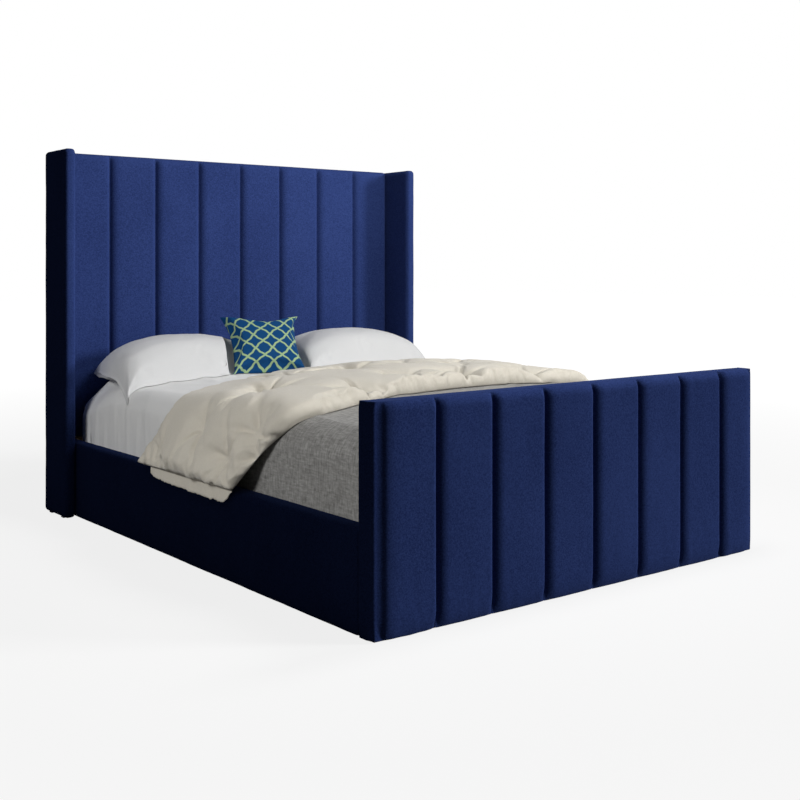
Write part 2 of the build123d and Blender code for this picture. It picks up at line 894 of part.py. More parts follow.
with BuildPart() as comforter:
    add(flat_sided(quilt_rings))
    for strip, normal in enumerate(strip_normals):
        for row in range(comforter_rows):
            corners = [
                seam_point(seam, row_place(seam, place), comforter_thickness)
                for seam, place in (
                    (strip, row),
                    (strip, row + 1),
                    (strip + 1, row + 1),
                    (strip + 1, row),
                )
            ]
            centre = (corners[0] + corners[1] + corners[2] + corners[3]) / 4
            strip_width = (corners[2] - corners[1]).length
            rise = min(comforter_puff, strip_width * comforter_puff_share)
            rings = []
            for step in range(-1, comforter_puff_steps):
                angle = math.radians(90) * max(step, 0) / comforter_puff_steps
                spread = comforter_stitch_share * math.cos(angle)
                lift = normal * (rise * math.sin(angle) if step >= 0 else -comforter_underlap)
                rings.append([centre + (corner - centre) * spread + lift for corner in corners])
            add(flat_sided(rings))
    add(comforter_rest, mode=Mode.SUBTRACT)
    block(
        (-outer_half_width - contact_gap, -overall_length, 0),
        (outer_half_width + contact_gap, overall_length, rail_height + contact_gap),
        mode=Mode.SUBTRACT,
    )
save(comforter, "comforter")

# Pillows and cushion: filled cases, thin at their seams and full in their middles
pillow_half_length = 355
pillow_half_depth = 198
pillow_waist = 7
pillow_middle_share = 0.5
pillow_set_back = 197
pillow_seam_height = 590
pillow_rise = 98
pillow_fall = 62

cushion_half_side = 160
cushion_waist = 6
cushion_fullness = 55
cushion_offset = -92
cushion_forward = 138
cushion_rise = 72
cushion_turn = -19.2
cushion_lean = 46
cushion_play = 2 * contact_gap

pillow_middle = pillow_middle_share * outer_half_width
pillow_line = mattress_middle + mattress_length / 2 - pillow_set_back
cushion_place = (cushion_offset, pillow_line - cushion_forward, pillow_seam_height + cushion_rise)


def case_outline(half_length, half_depth, waist):
    """The outline of a filled case lying level, with drawn-in sides."""
    with BuildSketch() as plan:
        with BuildLine():
            corner_points = [
                (-half_length, -half_depth),
                (half_length, -half_depth),
                (half_length, half_depth),
                (-half_length, half_depth),
            ]
            drawn_in = [
                (0, waist - half_depth),
                (half_length - waist, 0),
                (0, half_depth - waist),
                (waist - half_length, 0),
            ]
            for start, middle, end in zip(
                corner_points, drawn_in, corner_points[1:] + corner_points[:1]
            ):
                ThreePointArc(start, middle, end)
        make_face()
    return plan.sketch


def filled_case(half_length, half_depth, waist, rise, fall):
    """A filled case lying level: full in its middle, with drawn-in sides and a thin seam."""
    with BuildPart() as form:
        extrude(case_outline(half_length, half_depth, waist), amount=rise + fall, both=True)
        for view, half in ((Plane.XZ, half_length), (Plane.YZ, half_depth)):
            with BuildSketch(view):
                with BuildLine():
                    ThreePointArc((-half - waist, 0), (0, rise), (half + waist, 0))
                    ThreePointArc((half + waist, 0), (0, -fall), (-half - waist, 0))
                make_face()
            extrude(amount=half_length + half_depth, both=True, mode=Mode.INTERSECT)
    return form.part


cushion_stance = Location(cushion_place, (cushion_lean, 0, cushion_turn), Extrinsic.XYZ)
cushion_case = filled_case(
    cushion_half_side, cushion_half_side, cushion_waist, cushion_fullness, cushion_fullness
)
cushion_hollow = filled_case(
    cushion_half_side + cushion_play,
    cushion_half_side + cushion_play,
    cushion_waist,
    cushion_fullness + cushion_play,
    cushion_fullness + cushion_play,
).moved(cushion_stance)
cushion_way_side = cushion_half_side + cushion_waist
cushion_way = case_outline(cushion_way_side, cushion_way_side, cushion_waist).moved(
    cushion_stance
)

with BuildPart() as cushion:
    add(cushion_case.moved(cushion_stance))
    add(pillow_rest, mode=Mode.SUBTRACT)
save(cushion, "cushion")

pillow_case = filled_case(
    pillow_half_length, pillow_half_depth, pillow_waist, pillow_rise, pillow_fall
)
for side_name, side in SIDES:
    with BuildPart() as pillow:
        add(
            pillow_case.moved(
                Location((side * pillow_middle, pillow_line, pillow_seam_height))
            )
        )
        add(pillow_rest, mode=Mode.SUBTRACT)
        add(cushion_hollow, mode=Mode.SUBTRACT)
        extrude(cushion_way, amount=pillow_rise, dir=(0, 0, 1), mode=Mode.SUBTRACT)
    save(pillow, f"pillow_{side_name}")
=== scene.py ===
# %% [markdown]
# # Dressing an upholstered wing bed
# The measured model of the bed is loaded as a fixed frame. Its timber and steel stay as they
# are and only get finishes. Everything sewn or padded is made again here as soft goods:
# velvet rolls, padded rails and wings, and the bedding on top.

import bpy
import json
import math
import numpy as np
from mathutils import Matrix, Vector, noise
from mathutils.bvhtree import BVHTree


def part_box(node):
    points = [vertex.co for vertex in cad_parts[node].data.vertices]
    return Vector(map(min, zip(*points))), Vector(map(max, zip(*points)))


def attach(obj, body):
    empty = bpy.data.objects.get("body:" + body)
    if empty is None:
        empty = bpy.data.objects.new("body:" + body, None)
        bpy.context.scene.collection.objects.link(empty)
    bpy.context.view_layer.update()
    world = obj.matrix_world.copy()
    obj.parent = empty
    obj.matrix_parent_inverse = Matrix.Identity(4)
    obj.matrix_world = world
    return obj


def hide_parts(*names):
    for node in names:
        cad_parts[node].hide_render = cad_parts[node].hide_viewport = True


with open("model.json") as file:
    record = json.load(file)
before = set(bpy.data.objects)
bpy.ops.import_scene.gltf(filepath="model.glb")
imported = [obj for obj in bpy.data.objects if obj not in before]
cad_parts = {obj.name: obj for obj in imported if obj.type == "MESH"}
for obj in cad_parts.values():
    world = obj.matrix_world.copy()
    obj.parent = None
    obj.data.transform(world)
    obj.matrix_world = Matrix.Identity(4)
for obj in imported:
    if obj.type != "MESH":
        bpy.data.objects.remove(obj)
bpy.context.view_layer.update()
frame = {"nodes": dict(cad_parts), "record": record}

# %% [markdown]
# ## The camera
# A product photo of a bed is taken at about standing height from in front of one corner.
# The lens is kept level and shifted down, so that all upright edges stay upright.

# %% Camera
bpy.ops.object.camera_add(
    location=(-2.599, -3.454, 0.974), rotation=(math.radians(90), 0, math.radians(-38.02))
)
camera = bpy.context.object
camera.name = "bed_camera"
camera.data.lens = 52.13
camera.data.sensor_width = 36
camera.data.shift_y = -0.1654
bpy.context.scene.camera = camera
print("camera", tuple(round(v, 2) for v in camera.location))

# %% [markdown]
# ## Shader sums as plain expressions
# A finish is a small sum over noise and position. Wrapping a socket in a class lets that sum
# be written as ordinary Python, and each operator then adds its own Math node.


# %% Flow and Finish
class Flow:
    """A value on its way through the nodes of a finish."""

    def __init__(self, finish, socket):
        self.finish = finish
        self.socket = socket

    def math(self, operation, first, second=0.0):
        return self.finish.node("ShaderNodeMath", {"operation": operation}, {0: first, 1: second})

    def __add__(self, other):
        return self.math("ADD", self, other)

    __radd__ = __add__

    def __sub__(self, other):
        return self.math("SUBTRACT", self, other)

    def __rsub__(self, other):
        return self.math("SUBTRACT", other, self)

    def __mul__(self, other):
        return self.math("MULTIPLY", self, other)

    __rmul__ = __mul__

    def sine(self):
        return self.math("SINE", self)

    def size(self):
        return self.math("ABSOLUTE", self)

    def most(self, other):
        return self.math("MAXIMUM", self, other)

    def least(self, other):
        return self.math("MINIMUM", self, other)


class Finish:
    """A material, or the world, with its nodes."""

    def __init__(self, name, owner=None):
        self.owner = owner or bpy.data.materials.new(name)
        self.owner.use_nodes = True
        self.tree = self.owner.node_tree
        self.tree.nodes.clear()

    def node(self, kind, settings=None, sockets=None, out=0):
        """Adds a node: its settings first, then the values or links of its sockets."""
        made = self.tree.nodes.new(kind)
        for key, value in (settings or {}).items():
            setattr(made, key, value)
        for key, value in (sockets or {}).items():
            if isinstance(value, Flow):
                self.tree.links.new(value.socket, made.inputs[key])
            else:
                made.inputs[key].default_value = value
        return Flow(self, made.outputs[out])

    def position(self):
        return self.node("ShaderNodeTexCoord", out="Object")

    def speckle(self, scale, detail=2.0, rough=0.5, at=None):
        """Noise from 0 to 1, with so many grains to the metre."""
        sockets = {"Vector": at or self.position(), "Scale": scale}
        sockets.update({"Detail": detail, "Roughness": rough})
        return self.node("ShaderNodeTexNoise", None, sockets)

    def stretched(self, along):
        """The position, squeezed by a factor along each axis."""
        sockets = {0: self.position(), 1: along}
        return self.node("ShaderNodeVectorMath", {"operation": "MULTIPLY"}, sockets)

    def blend(self, share, first, second):
        """Between two colours."""
        colours = [v if isinstance(v, Flow) else (*v, 1) for v in (first, second)]
        sockets = {0: share, 6: colours[0], 7: colours[1]}
        return self.node("ShaderNodeMix", {"data_type": "RGBA"}, sockets, out=2)

    def ramp(self, value, low, high):
        """Spreads the part of a value between low and high over 0 to 1."""
        sockets = {"Value": value, "From Min": low, "From Max": high}
        return self.node("ShaderNodeMapRange", None, sockets)

    def surface(self, colour, roughness, height, depth, **fixed):
        """Ends the finish in one shader; what is the same all over goes straight on its sockets."""
        sockets = {"Roughness": roughness, "Base Color": colour}
        for name, value in fixed.items():
            sockets[name.replace("_", " ").title().replace("Ior", "IOR")] = value
        bump = {"Strength": 1.0, "Distance": depth, "Height": height}
        sockets["Normal"] = self.node("ShaderNodeBump", None, bump)
        shader = self.node("ShaderNodeBsdfPrincipled", None, sockets)
        self.node_output(shader)
        return self.owner

    def node_output(self, shader, kind="ShaderNodeOutputMaterial"):
        made = self.tree.nodes.new(kind)
        self.tree.links.new(shader.socket, made.inputs["Surface"])


# %% [markdown]
# ## Floor, world and lamps
# The photo shows the bed on white. A broad key lamp stands in front of the bed's right corner,
# so the fronts are lit and every left side falls into deep shade. A small lamp over the bed
# lifts the headboard. The bedding has three lamps of its own, which are linked to it at the
# end. The floor returns little light and looks white, with the bed's soft shadow on it.

# %% Floor and world
FLOOR_REACH = 30.0
FLOOR_SHARE = 0.16
NEAR_FLOOR, FAR_FLOOR = 2.0, 7.0
WORLD_LEVEL = 0.06


def seen_rays(finish):
    """1 where a camera, glossy or transmission ray arrives, else 0."""
    names = ("Is Camera Ray", "Is Glossy Ray", "Is Transmission Ray")
    first, second, third = [finish.node("ShaderNodeLightPath", out=name) for name in names]
    return first.most(second).most(third)


def lamp(name, place, target, size, power):
    """A square area lamp turned towards a point."""
    bpy.ops.object.light_add(type="AREA", location=place)
    made = bpy.context.object
    made.name = name
    made.data.size = size
    made.data.energy = power
    direction = Vector(target) - Vector(place)
    made.rotation_euler = direction.to_track_quat("-Z", "Y").to_euler()
    return made


bpy.ops.object.select_all(action="DESELECT")
bpy.ops.mesh.primitive_plane_add(size=2 * FLOOR_REACH)
floor = bpy.context.object
floor.name = "floor"
pale = Finish("pale_floor")
away = pale.node("ShaderNodeVectorMath", {"operation": "LENGTH"}, {0: pale.position()}, out=1)
far = pale.ramp(away, NEAR_FLOOR, FAR_FLOOR)
fill = seen_rays(pale) * (1 - FLOOR_SHARE + FLOOR_SHARE * far)
lit = pale.node("ShaderNodeEmission", None, {"Color": (1, 1, 1, 1), "Strength": fill})
matt = pale.node("ShaderNodeBsdfDiffuse", None, {"Color": (FLOOR_SHARE,) * 3 + (1,)})
pale.node_output(pale.node("ShaderNodeAddShader", None, {0: lit, 1: matt}))
floor.data.materials.append(pale.owner)

world = bpy.data.worlds.new("studio")
bpy.context.scene.world = world
sky = Finish("studio", world)
level = seen_rays(sky) * (1 - WORLD_LEVEL) + WORLD_LEVEL
sky.node_output(
    sky.node("ShaderNodeBackground", None, {"Color": (1, 1, 1, 1), "Strength": level}),
    "ShaderNodeOutputWorld",
)
bpy.context.scene.view_settings.view_transform = "Standard"

# %% Lamps
frame_lamps = [
    lamp("key_lamp", (12.6, -11.4, 6.0), (0.0, 0.0, 0.5), 3.6, 2450),
    lamp("head_lamp", (0.5, -0.9, 2.5), (-0.1, 0.9, 1.1), 0.8, 40),
]
bedding_lamps = [
    lamp("bedding_key_lamp", (5.2, -7.6, 4.2), (0.0, 0.0, 0.5), 2.4, 640),
    lamp("bedding_head_lamp", (1.2, -0.8, 2.8), (0.0, 0.6, 0.6), 1.1, 30),
    lamp("bedding_side_lamp", (-4.2, -1.6, 2.4), (-0.4, 0.2, 0.5), 1.0, 88),
]
print("lamps set", len(frame_lamps) + len(bedding_lamps))

# %% [markdown]
# ## Finishes
# The velvet has a short pile: it shows as a fine speckle, with larger cloudy marks where the
# pile has been stroked, and a faint blue sheen at grazing angles. Four noises are weighed and
# summed, and the last number brings their sum back to its middle. The sheen is the same all
# over, so it sits on the shader's own sockets.


# %% Velvet
def velvet(name, shade, light):
    cloth = Finish(name)
    cloud = cloth.ramp(cloth.speckle(2.6, 3.0, 0.55), 0.3, 0.7)
    brushed = cloth.speckle(1.0, 3.0, 0.6, cloth.stretched((9.0, 9.0, 3.5)))
    tuft = cloth.speckle(230.0, 2.0, 0.7)
    pile = cloth.speckle(420.0, 2.0, 0.7)
    fibre = cloth.speckle(1500.0, 1.0, 0.6)
    tone = cloud * 0.28 + brushed * 0.28 + tuft * 2.3 + pile * 1.4 - 1.63
    rough = 0.80 + 0.15 * pile
    return cloth.surface(
        cloth.blend(tone, shade, light),
        rough,
        pile * 0.6 + fibre * 0.4,
        0.0006,
        sheen_weight=0.12,
        sheen_roughness=0.4,
        sheen_tint=(0.30, 0.42, 0.95, 1),
        specular_ior_level=0.0,
    )


navy = velvet("navy_velvet", (0.015, 0.027, 0.100), (0.033, 0.057, 0.190))


# %% [markdown]
# Woven cloths are two crossing sets of threads. Sine waves across and along make the weave,
# and slow noise makes some threads thicker and darker than others, as in the grey cover.


# %% Cottons and linen
def woven(name, shade, light, threads, slub, soft=0.25, sheen=0.1, rough=0.85):
    """A plain weave with so many threads to the metre and slubs of a given strength."""
    cloth = Finish(name)
    place = cloth.position()
    wave = []
    for turned in ((1.0, 0.0, 0.7), (0.0, 1.0, 0.7)):
        line = cloth.node("ShaderNodeVectorMath", {"operation": "DOT_PRODUCT"}, {0: place, 1: turned}, out=1)
        wave.append((line * (2 * math.pi * threads)).sine())
    thin, long = threads / 3, threads / 14
    warp = cloth.speckle(1.0, 2.0, 0.6, cloth.stretched((thin, long, thin)))
    weft = cloth.speckle(1.0, 2.0, 0.6, cloth.stretched((long, thin, long)))
    cloud = cloth.speckle(5.0, 3.0, 0.5)
    tone = 0.5 + (warp + weft - 1.0) * slub + (cloud - 0.5) * soft
    height = (wave[0] * wave[1]) * 0.5 + (warp + weft) * slub
    return cloth.surface(
        cloth.blend(tone, shade, light), rough, height, 0.0003, sheen_weight=sheen, specular_ior_level=0.25
    )


sheet_white = woven("sheet_cotton", (0.80, 0.80, 0.79), (0.90, 0.90, 0.89), threads=900, slub=0.2)
pillow_white = woven("pillow_cotton", (0.60, 0.605, 0.61), (0.71, 0.71, 0.71), threads=900, slub=0.2)
cover_grey = woven("grey_cotton", (0.13, 0.126, 0.12), (0.40, 0.395, 0.38), threads=480, slub=1.2, soft=0.3)
comforter_cream = woven(
    "comforter_linen", (0.60, 0.555, 0.465), (0.82, 0.775, 0.675),
    threads=1100, slub=0.35, soft=0.3, sheen=0.25, rough=0.6,
)
ticking = woven("mattress_ticking", (0.72, 0.72, 0.70), (0.85, 0.85, 0.84), threads=500, slub=0.4)
lining_black = woven("black_lining", (0.010, 0.010, 0.012), (0.030, 0.030, 0.034), threads=300, slub=0.6)
felt = woven("glide_felt", (0.03, 0.026, 0.022), (0.09, 0.08, 0.07), threads=700, slub=1.0)


# %% [markdown]
# The cushion is printed with a plain trellis. Two sets of diagonal lines cross at right angles,
# and midway between two crossings each line bows out, to one side and the other in turn, so
# round cells alternate with cross-shaped ones. It is drawn in the cushion's own UV map, so
# that the print follows the cloth round the filling.


# %% Printed cotton
def fifth_power(value):
    return value * value * value * value * value


def printed(name, ground, line, cells, bow, width):
    """A trellis in one colour on another, with so many cells to the width of the case."""
    cloth = Finish(name)
    uv = cloth.node("ShaderNodeUVMap", {"uv_map": "print"})
    split = [cloth.node("ShaderNodeSeparateXYZ", None, {0: uv}, out=axis) for axis in (0, 1)]
    across = ((split[0] + split[1]) * (math.pi * cells)).sine()
    down = ((split[0] - split[1]) * (math.pi * cells)).sine()
    first = (across - fifth_power(down) * bow).size()
    second = (down - fifth_power(across) * bow).size()
    drawn = 1 - cloth.ramp(first.least(second), width, width + 0.09)
    grain = cloth.speckle(900.0, 2.0, 0.6)
    base = cloth.blend(grain, [v * 0.7 for v in ground], [v * 1.25 for v in ground])
    thread = cloth.blend(grain, [v * 0.8 for v in line], [min(1, v * 1.15) for v in line])
    return cloth.surface(
        cloth.blend(drawn, base, thread), 0.8, grain + drawn * 0.5, 0.0003, specular_ior_level=0.15
    )


cushion_print = printed(
    "cushion_print", (0.002, 0.052, 0.165), (0.33, 0.47, 0.25), cells=4.6, bow=0.19, width=0.21
)


# %% Timber, steel and plastic
def timber(name, shade, light, rings, along=(14.0, 1.2, 14.0)):
    wood = Finish(name)
    grain = wood.speckle(1.0, 4.0, 0.6, wood.stretched(along))
    bands = ((grain * rings).sine() + 1.0) * 0.5
    fine = wood.speckle(1.0, 2.0, 0.7, wood.stretched(tuple(v * 22 for v in along)))
    tone = bands * 0.6 + fine * 0.4
    return wood.surface(wood.blend(tone, shade, light), 0.55 + 0.2 * fine, fine, 0.0002)


def coated(name, colour, metal, rough, grains):
    coat = Finish(name)
    mottle = coat.speckle(grains, 2.0, 0.6)
    shade = [v * 0.75 for v in colour]
    tone = coat.blend(mottle, shade, colour)
    return coat.surface(tone, rough + 0.15 * mottle, mottle, 0.00015, metallic=metal)


pine = timber("pine", (0.42, 0.26, 0.12), (0.66, 0.46, 0.26), rings=26)
plywood = timber("panel_board", (0.30, 0.19, 0.10), (0.48, 0.33, 0.19), rings=14, along=(1.5, 1.5, 9.0))
birch = timber("slat_birch", (0.56, 0.40, 0.23), (0.74, 0.58, 0.38), rings=18, along=(1.2, 14.0, 14.0))
black_steel = coated("black_steel", (0.012, 0.012, 0.014), metal=0.0, rough=0.42, grains=900.0)
zinc = coated("zinc_steel", (0.62, 0.63, 0.65), metal=1.0, rough=0.30, grains=500.0)
plastic = coated("black_plastic", (0.014, 0.014, 0.015), metal=0.0, rough=0.50, grains=700.0)

FINISHES = {
    "navy_velvet": navy,
    "black_lining": lining_black,
    "pine": pine,
    "panel_board": plywood,
    "slat_birch": birch,
    "black_steel": black_steel,
    "zinc_steel": zinc,
    "black_plastic": plastic,
    "glide_felt": felt,
    "mattress_ticking": ticking,
    "sheet_cotton": sheet_white,
    "grey_cotton": cover_grey,
    "comforter_linen": comforter_cream,
    "pillow_cotton": pillow_white,
    "cushion_print": cushion_print,
}

for part in frame["record"]["subparts"]:
    node = frame["nodes"][part["node"]]
    node.data.materials.clear()
    node.data.materials.append(FINISHES[part["material_slot"]])
print("finishes", len(FINISHES))

# %% [markdown]
# ## Helpers for soft pieces
# A sewn piece is described by rows of points, as a pattern cutter would mark them, and skinned
# with quads. Slow, seeded noise then moves the surface by a millimetre or so, because no
# upholstered face is truly flat.


# %% Skin, ease and finish
def skin(name, rows, around=True, capped=True):
    """A mesh through rows of points; each row may close on itself, and the ends may be capped."""
    rows = np.asarray(rows, float)
    count, width = rows.shape[:2]
    faces = []
    for row in range(count - 1):
        below, above = row * width, (row + 1) * width
        for place in range(width if around else width - 1):
            after = (place + 1) % width
            faces.append((below + place, below + after, above + after, above + place))
    if capped:
        faces.append(tuple(reversed(range(width))))
        faces.append(tuple((count - 1) * width + place for place in range(width)))
    mesh = bpy.data.meshes.new(name)
    mesh.from_pydata(rows.reshape(-1, 3).tolist(), [], faces)
    piece = bpy.data.objects.new(name, mesh)
    bpy.context.scene.collection.objects.link(piece)
    return piece


def take(piece):
    """Makes a piece the only selected and the active one."""
    bpy.ops.object.select_all(action="DESELECT")
    piece.select_set(True)
    bpy.context.view_layer.objects.active = piece


def recalculate(piece):
    """Turns all faces outwards, after joining doubles."""
    take(piece)
    bpy.ops.object.mode_set(mode="EDIT")
    bpy.ops.mesh.select_all(action="SELECT")
    bpy.ops.mesh.remove_doubles(threshold=0.00005)
    bpy.ops.mesh.normals_make_consistent(inside=False)
    bpy.ops.object.mode_set(mode="OBJECT")


def modify(piece, kind, **settings):
    """Adds a modifier with its settings and applies it."""
    take(piece)
    made = piece.modifiers.new(kind.lower(), kind)
    for key, value in settings.items():
        setattr(made, key, value)
    bpy.ops.object.modifier_apply(modifier=made.name)


def points_of(piece):
    found = np.empty(len(piece.data.vertices) * 3)
    piece.data.vertices.foreach_get("co", found)
    return found.reshape(-1, 3)


def normals_of(piece):
    found = np.empty(len(piece.data.vertices) * 3)
    piece.data.vertices.foreach_get("normal", found)
    return found.reshape(-1, 3)


def put_points(piece, points):
    piece.data.vertices.foreach_set("co", np.asarray(points, float).ravel())
    piece.data.update()


def slow_noise(points, scale, seed):
    """Soft noise from -1 to 1 at each point, with scale as a number or one per axis."""
    scaled = np.asarray(points) * np.asarray(scale) + seed * 7.31
    return np.array([noise.noise(Vector(point)) for point in scaled])


def smooth(share):
    """Levels out a share's start at 0 and its end at 1."""
    return share * share * (3 - 2 * share)


def ramp(values, low, high):
    """Rises smoothly from 0 at low to 1 at high."""
    return smooth(np.clip((values - low) / (high - low), 0, 1))


def ease(piece, amount, scale, seed):
    """Moves the surface in and out by slow noise."""
    points = points_of(piece)
    moved = slow_noise(points, scale, seed)[:, None] * normals_of(piece) * amount
    put_points(piece, points + moved)


def dress(piece, body, finish_name, *nodes):
    """Gives a piece its finish, its body and the nodes that it stands for."""
    piece.data.materials.clear()
    piece.data.materials.append(FINISHES[finish_name])
    for face in piece.data.polygons:
        face.use_smooth = True
    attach(piece, body)
    if nodes:
        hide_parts(*nodes)
    return piece


# %% [markdown]
# ## Channels
# Each channel is one long foam roll under velvet, sewn down into a narrow groove on either
# side. Across, it is nearly flat, with a round shoulder beside each groove, wider on its left
# than on its right. At its top the cloth turns back tightly over the board's edge; at its
# bottom it turns under in a wider sweep. As in the photo, the grooves between the channels
# stand a little to the right of an even layout.


# %% Channel shape
LEFT_SHOULDER = 0.034
RIGHT_SHOULDER = 0.020
SHOULDER_ROUND, SHOULDER_FULL = 2.2, 0.6
GROOVE_HALF = 0.002
GROOVE_SHIFT = 0.010
CROWN = 0.0015
LEAST_PADDING = 0.0035
HIGH_TURN = 0.030
LOW_TURN = 0.062
TURN_DEPTH = 0.020
TURN_SPREAD = 0.8
BROAD_WAVE, FINE_WAVE, PUCKER = 0.0010, 0.0006, 0.0012
PUCKER_REACH = 2.2


def shoulder(distance, reach):
    """How full a roll is at a distance from a groove, from 0 in the groove to 1."""
    away = np.clip((distance - GROOVE_HALF) / reach, 0, 1)
    return np.clip(1 - (1 - away) ** SHOULDER_ROUND, 0, 1) ** SHOULDER_FULL


def turned_heights(bottom, top, low_turn=LOW_TURN):
    """Heights from bottom to top, close together at the turns, and how far back each lies."""
    turn = 1 - np.cos(np.linspace(0, math.pi / 2, 9))
    middle = np.linspace(bottom + low_turn, top - HIGH_TURN, 40)[1:-1]
    heights = np.concatenate([bottom + low_turn * turn, middle, top - HIGH_TURN * turn[::-1]])
    low_share = np.clip(1 - (heights - bottom) / low_turn, 0, 1)
    high_share = np.clip(1 - (top - heights) / HIGH_TURN, 0, 1)
    share = np.maximum(low_share, high_share)
    return heights, TURN_DEPTH * (1 - np.sqrt(1 - share**2))


def softened_skin(name, rows, back, depth, seed):
    """Skins a roll and moves its front by slow noise, most where the cloth is gathered."""
    piece = skin(name, rows)
    recalculate(piece)
    points, outward = points_of(piece), normals_of(piece)
    bottom, top = points[:, 2].min(), points[:, 2].max()
    loose = np.clip((back - points[:, 1]) / depth, 0, 1)
    near_end = np.minimum((points[:, 2] - bottom) / LOW_TURN, (top - points[:, 2]) / HIGH_TURN)
    gathered = np.exp(-((near_end / PUCKER_REACH) ** 2))
    waves = BROAD_WAVE * slow_noise(points, (6.0, 6.0, 2.6), seed)
    waves += FINE_WAVE * slow_noise(points, (22.0, 22.0, 9.0), seed + 3)
    waves += PUCKER * gathered * slow_noise(points, (55.0, 10.0, 16.0), seed + 5)
    put_points(piece, points + outward * (waves * loose)[:, None])
    modify(piece, "SUBSURF", levels=1, render_levels=1)
    return piece


def channel(name, left, right, back, front, bottom, top, seed, low_turn):
    """A roll between two grooves, skinned row by row from its bottom to its top."""
    half = (right - left) / 2
    middle = (left + right) / 2
    bend = 0.5 * math.pi * np.linspace(-1, 1, 33)
    across = middle + half * np.sin(bend)
    from_groove = half - np.abs(across - middle)
    reach = np.where(across < middle, LEFT_SHOULDER, RIGHT_SHOULDER)
    rows = []
    for height, inward in zip(*turned_heights(bottom, top, low_turn)):
        full = shoulder(from_groove, reach * (1 + TURN_SPREAD * inward / TURN_DEPTH))
        room = (back - front - inward) * full
        room -= CROWN * (1 - from_groove / half) ** 2 * full
        room = np.maximum(room, LEAST_PADDING)
        line = np.stack([across, back - room, np.full_like(across, height)], 1)
        rows.append(np.vstack([line, [[right, back, height], [left, back, height]]]))
    return softened_skin(name, rows, back, back - front, seed)


# %% Channels between two grooves
def channel_edges(board, count=8):
    """The places of a board's grooves, from the boxes of its channel nodes."""
    boxes = [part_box(f"{board}_channel_{number + 1}") for number in range(count)]
    inner = [(one[1][0] + other[0][0]) / 2 + GROOVE_SHIFT for one, other in zip(boxes, boxes[1:])]
    return [boxes[0][0][0]] + inner + [boxes[-1][1][0]], boxes


def channel_row(board, first, last, below, low_turn):
    """Dresses the channels of a board from the first to the last, ending a little below."""
    edges, boxes = channel_edges(board)
    for number in range(first, last + 1):
        low, high = boxes[number - 1]
        node = f"{board}_channel_{number}"
        left, right = edges[number - 1 : number + 1]
        piece = channel(
            f"{node}_velvet", left, right, high[1], low[1], low[2] - below, high[2],
            number + len(board), low_turn,
        )
        dress(piece, "bed_frame", "navy_velvet", node)
    print(board, "channels", first, "to", last, "pitch", round(edges[2] - edges[1], 4))


channel_row("headboard", 1, 8, 0.007, 0.006)
channel_row("footboard", 2, 7, 0.0, LOW_TURN)

# %% [markdown]
# The footboard's outer channels have no groove at their outer side. Their velvet runs on over
# a soft hollow and a low roll, turns the front corner and covers the end, so each outer
# channel and its end are one piece of cloth.

# %% Footboard ends
END_REACH = np.array([0, 1, 3, 6, 10.5, 16, 22, 28, 32.5, 35.5, 39, 44, 52, 62, 75, 92]) / 1000
END_DEPTH = np.array([50, 38, 31, 26.8, 23.8, 21.3, 19, 16.6, 14, 11, 8, 5.2, 3, 1.3, 0.4, 0]) / 1000
FACE_TURN, SIDE_TURN = 0.9, 0.25
BACK_SPARE, TUCK_SPARE, INSET_SPARE = 0.002, 0.0025, 0.003
RETURN_REACH = 0.012


def end_piece(name, side, roll, first, groove, seed):
    """The wrap of one end with the outer channel, skinned from plan outlines."""
    (low, high), (channel_low, channel_high) = roll, first
    end = low[0] if side < 0 else high[0]
    width = abs(groove - end)
    front, back, tuck = channel_low[1], high[1], channel_high[1]
    board_inset = abs(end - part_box("footboard_face_board")[0 if side < 0 else 1][0])
    turn = np.linspace(0, math.pi / 2, 9)[1:]
    round_reach = RIGHT_SHOULDER if side < 0 else LEFT_SHOULDER
    flat = np.linspace(END_REACH[-1], width - round_reach, 16)[1:]
    reach = np.concatenate([END_REACH, flat, width - round_reach * (1 - np.sin(turn))])
    deep = np.concatenate([END_DEPTH, np.zeros(len(flat) + len(turn))])
    deep = np.maximum(deep, (tuck - front) * (1 - shoulder(width - reach, round_reach)))
    rows = []
    for height, inward in zip(*turned_heights(low[2], high[2])):
        face = front + inward * FACE_TURN
        side_in = SIDE_TURN * inward
        outline = [(side_in, y) for y in np.linspace(back, face + END_DEPTH[0], 4)[:-1]]
        for away, depth in zip(reach, deep):
            beside_board = away < board_inset - INSET_SPARE
            limit = back - BACK_SPARE if beside_board else tuck - TUCK_SPARE
            outline.append((max(away, side_in), min(face + depth, limit)))
        outline += [(width, tuck), (RETURN_REACH, tuck), (RETURN_REACH, back)]
        rows.append([(end - side * away, y, height) for away, y in outline])
    return softened_skin(name, rows, back, back - front, seed)


foot_edges, foot_boxes = channel_edges("footboard")
for side_name, side, number in (("left", -1, 1), ("right", 1, 8)):
    roll_node, channel_node = f"footboard_end_roll_{side_name}", f"footboard_channel_{number}"
    end_cloth = end_piece(
        f"footboard_end_{side_name}_velvet", side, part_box(roll_node), foot_boxes[number - 1],
        foot_edges[1 if side < 0 else -2], 60 + number,
    )
    dress(end_cloth, "bed_frame", "navy_velvet", roll_node, channel_node)
print("end piece faces", len(end_cloth.data.polygons))

# %% [markdown]
# ## Padded boards
# Rails, wings, borders and the footboard's back are boards wrapped in wadding and velvet. A
# cube is brought to size, its edges are rounded with a bevel, and a voxel remesh gives it an
# even skin, which the noise can then ease in and out. The thin black lining is bevelled only.


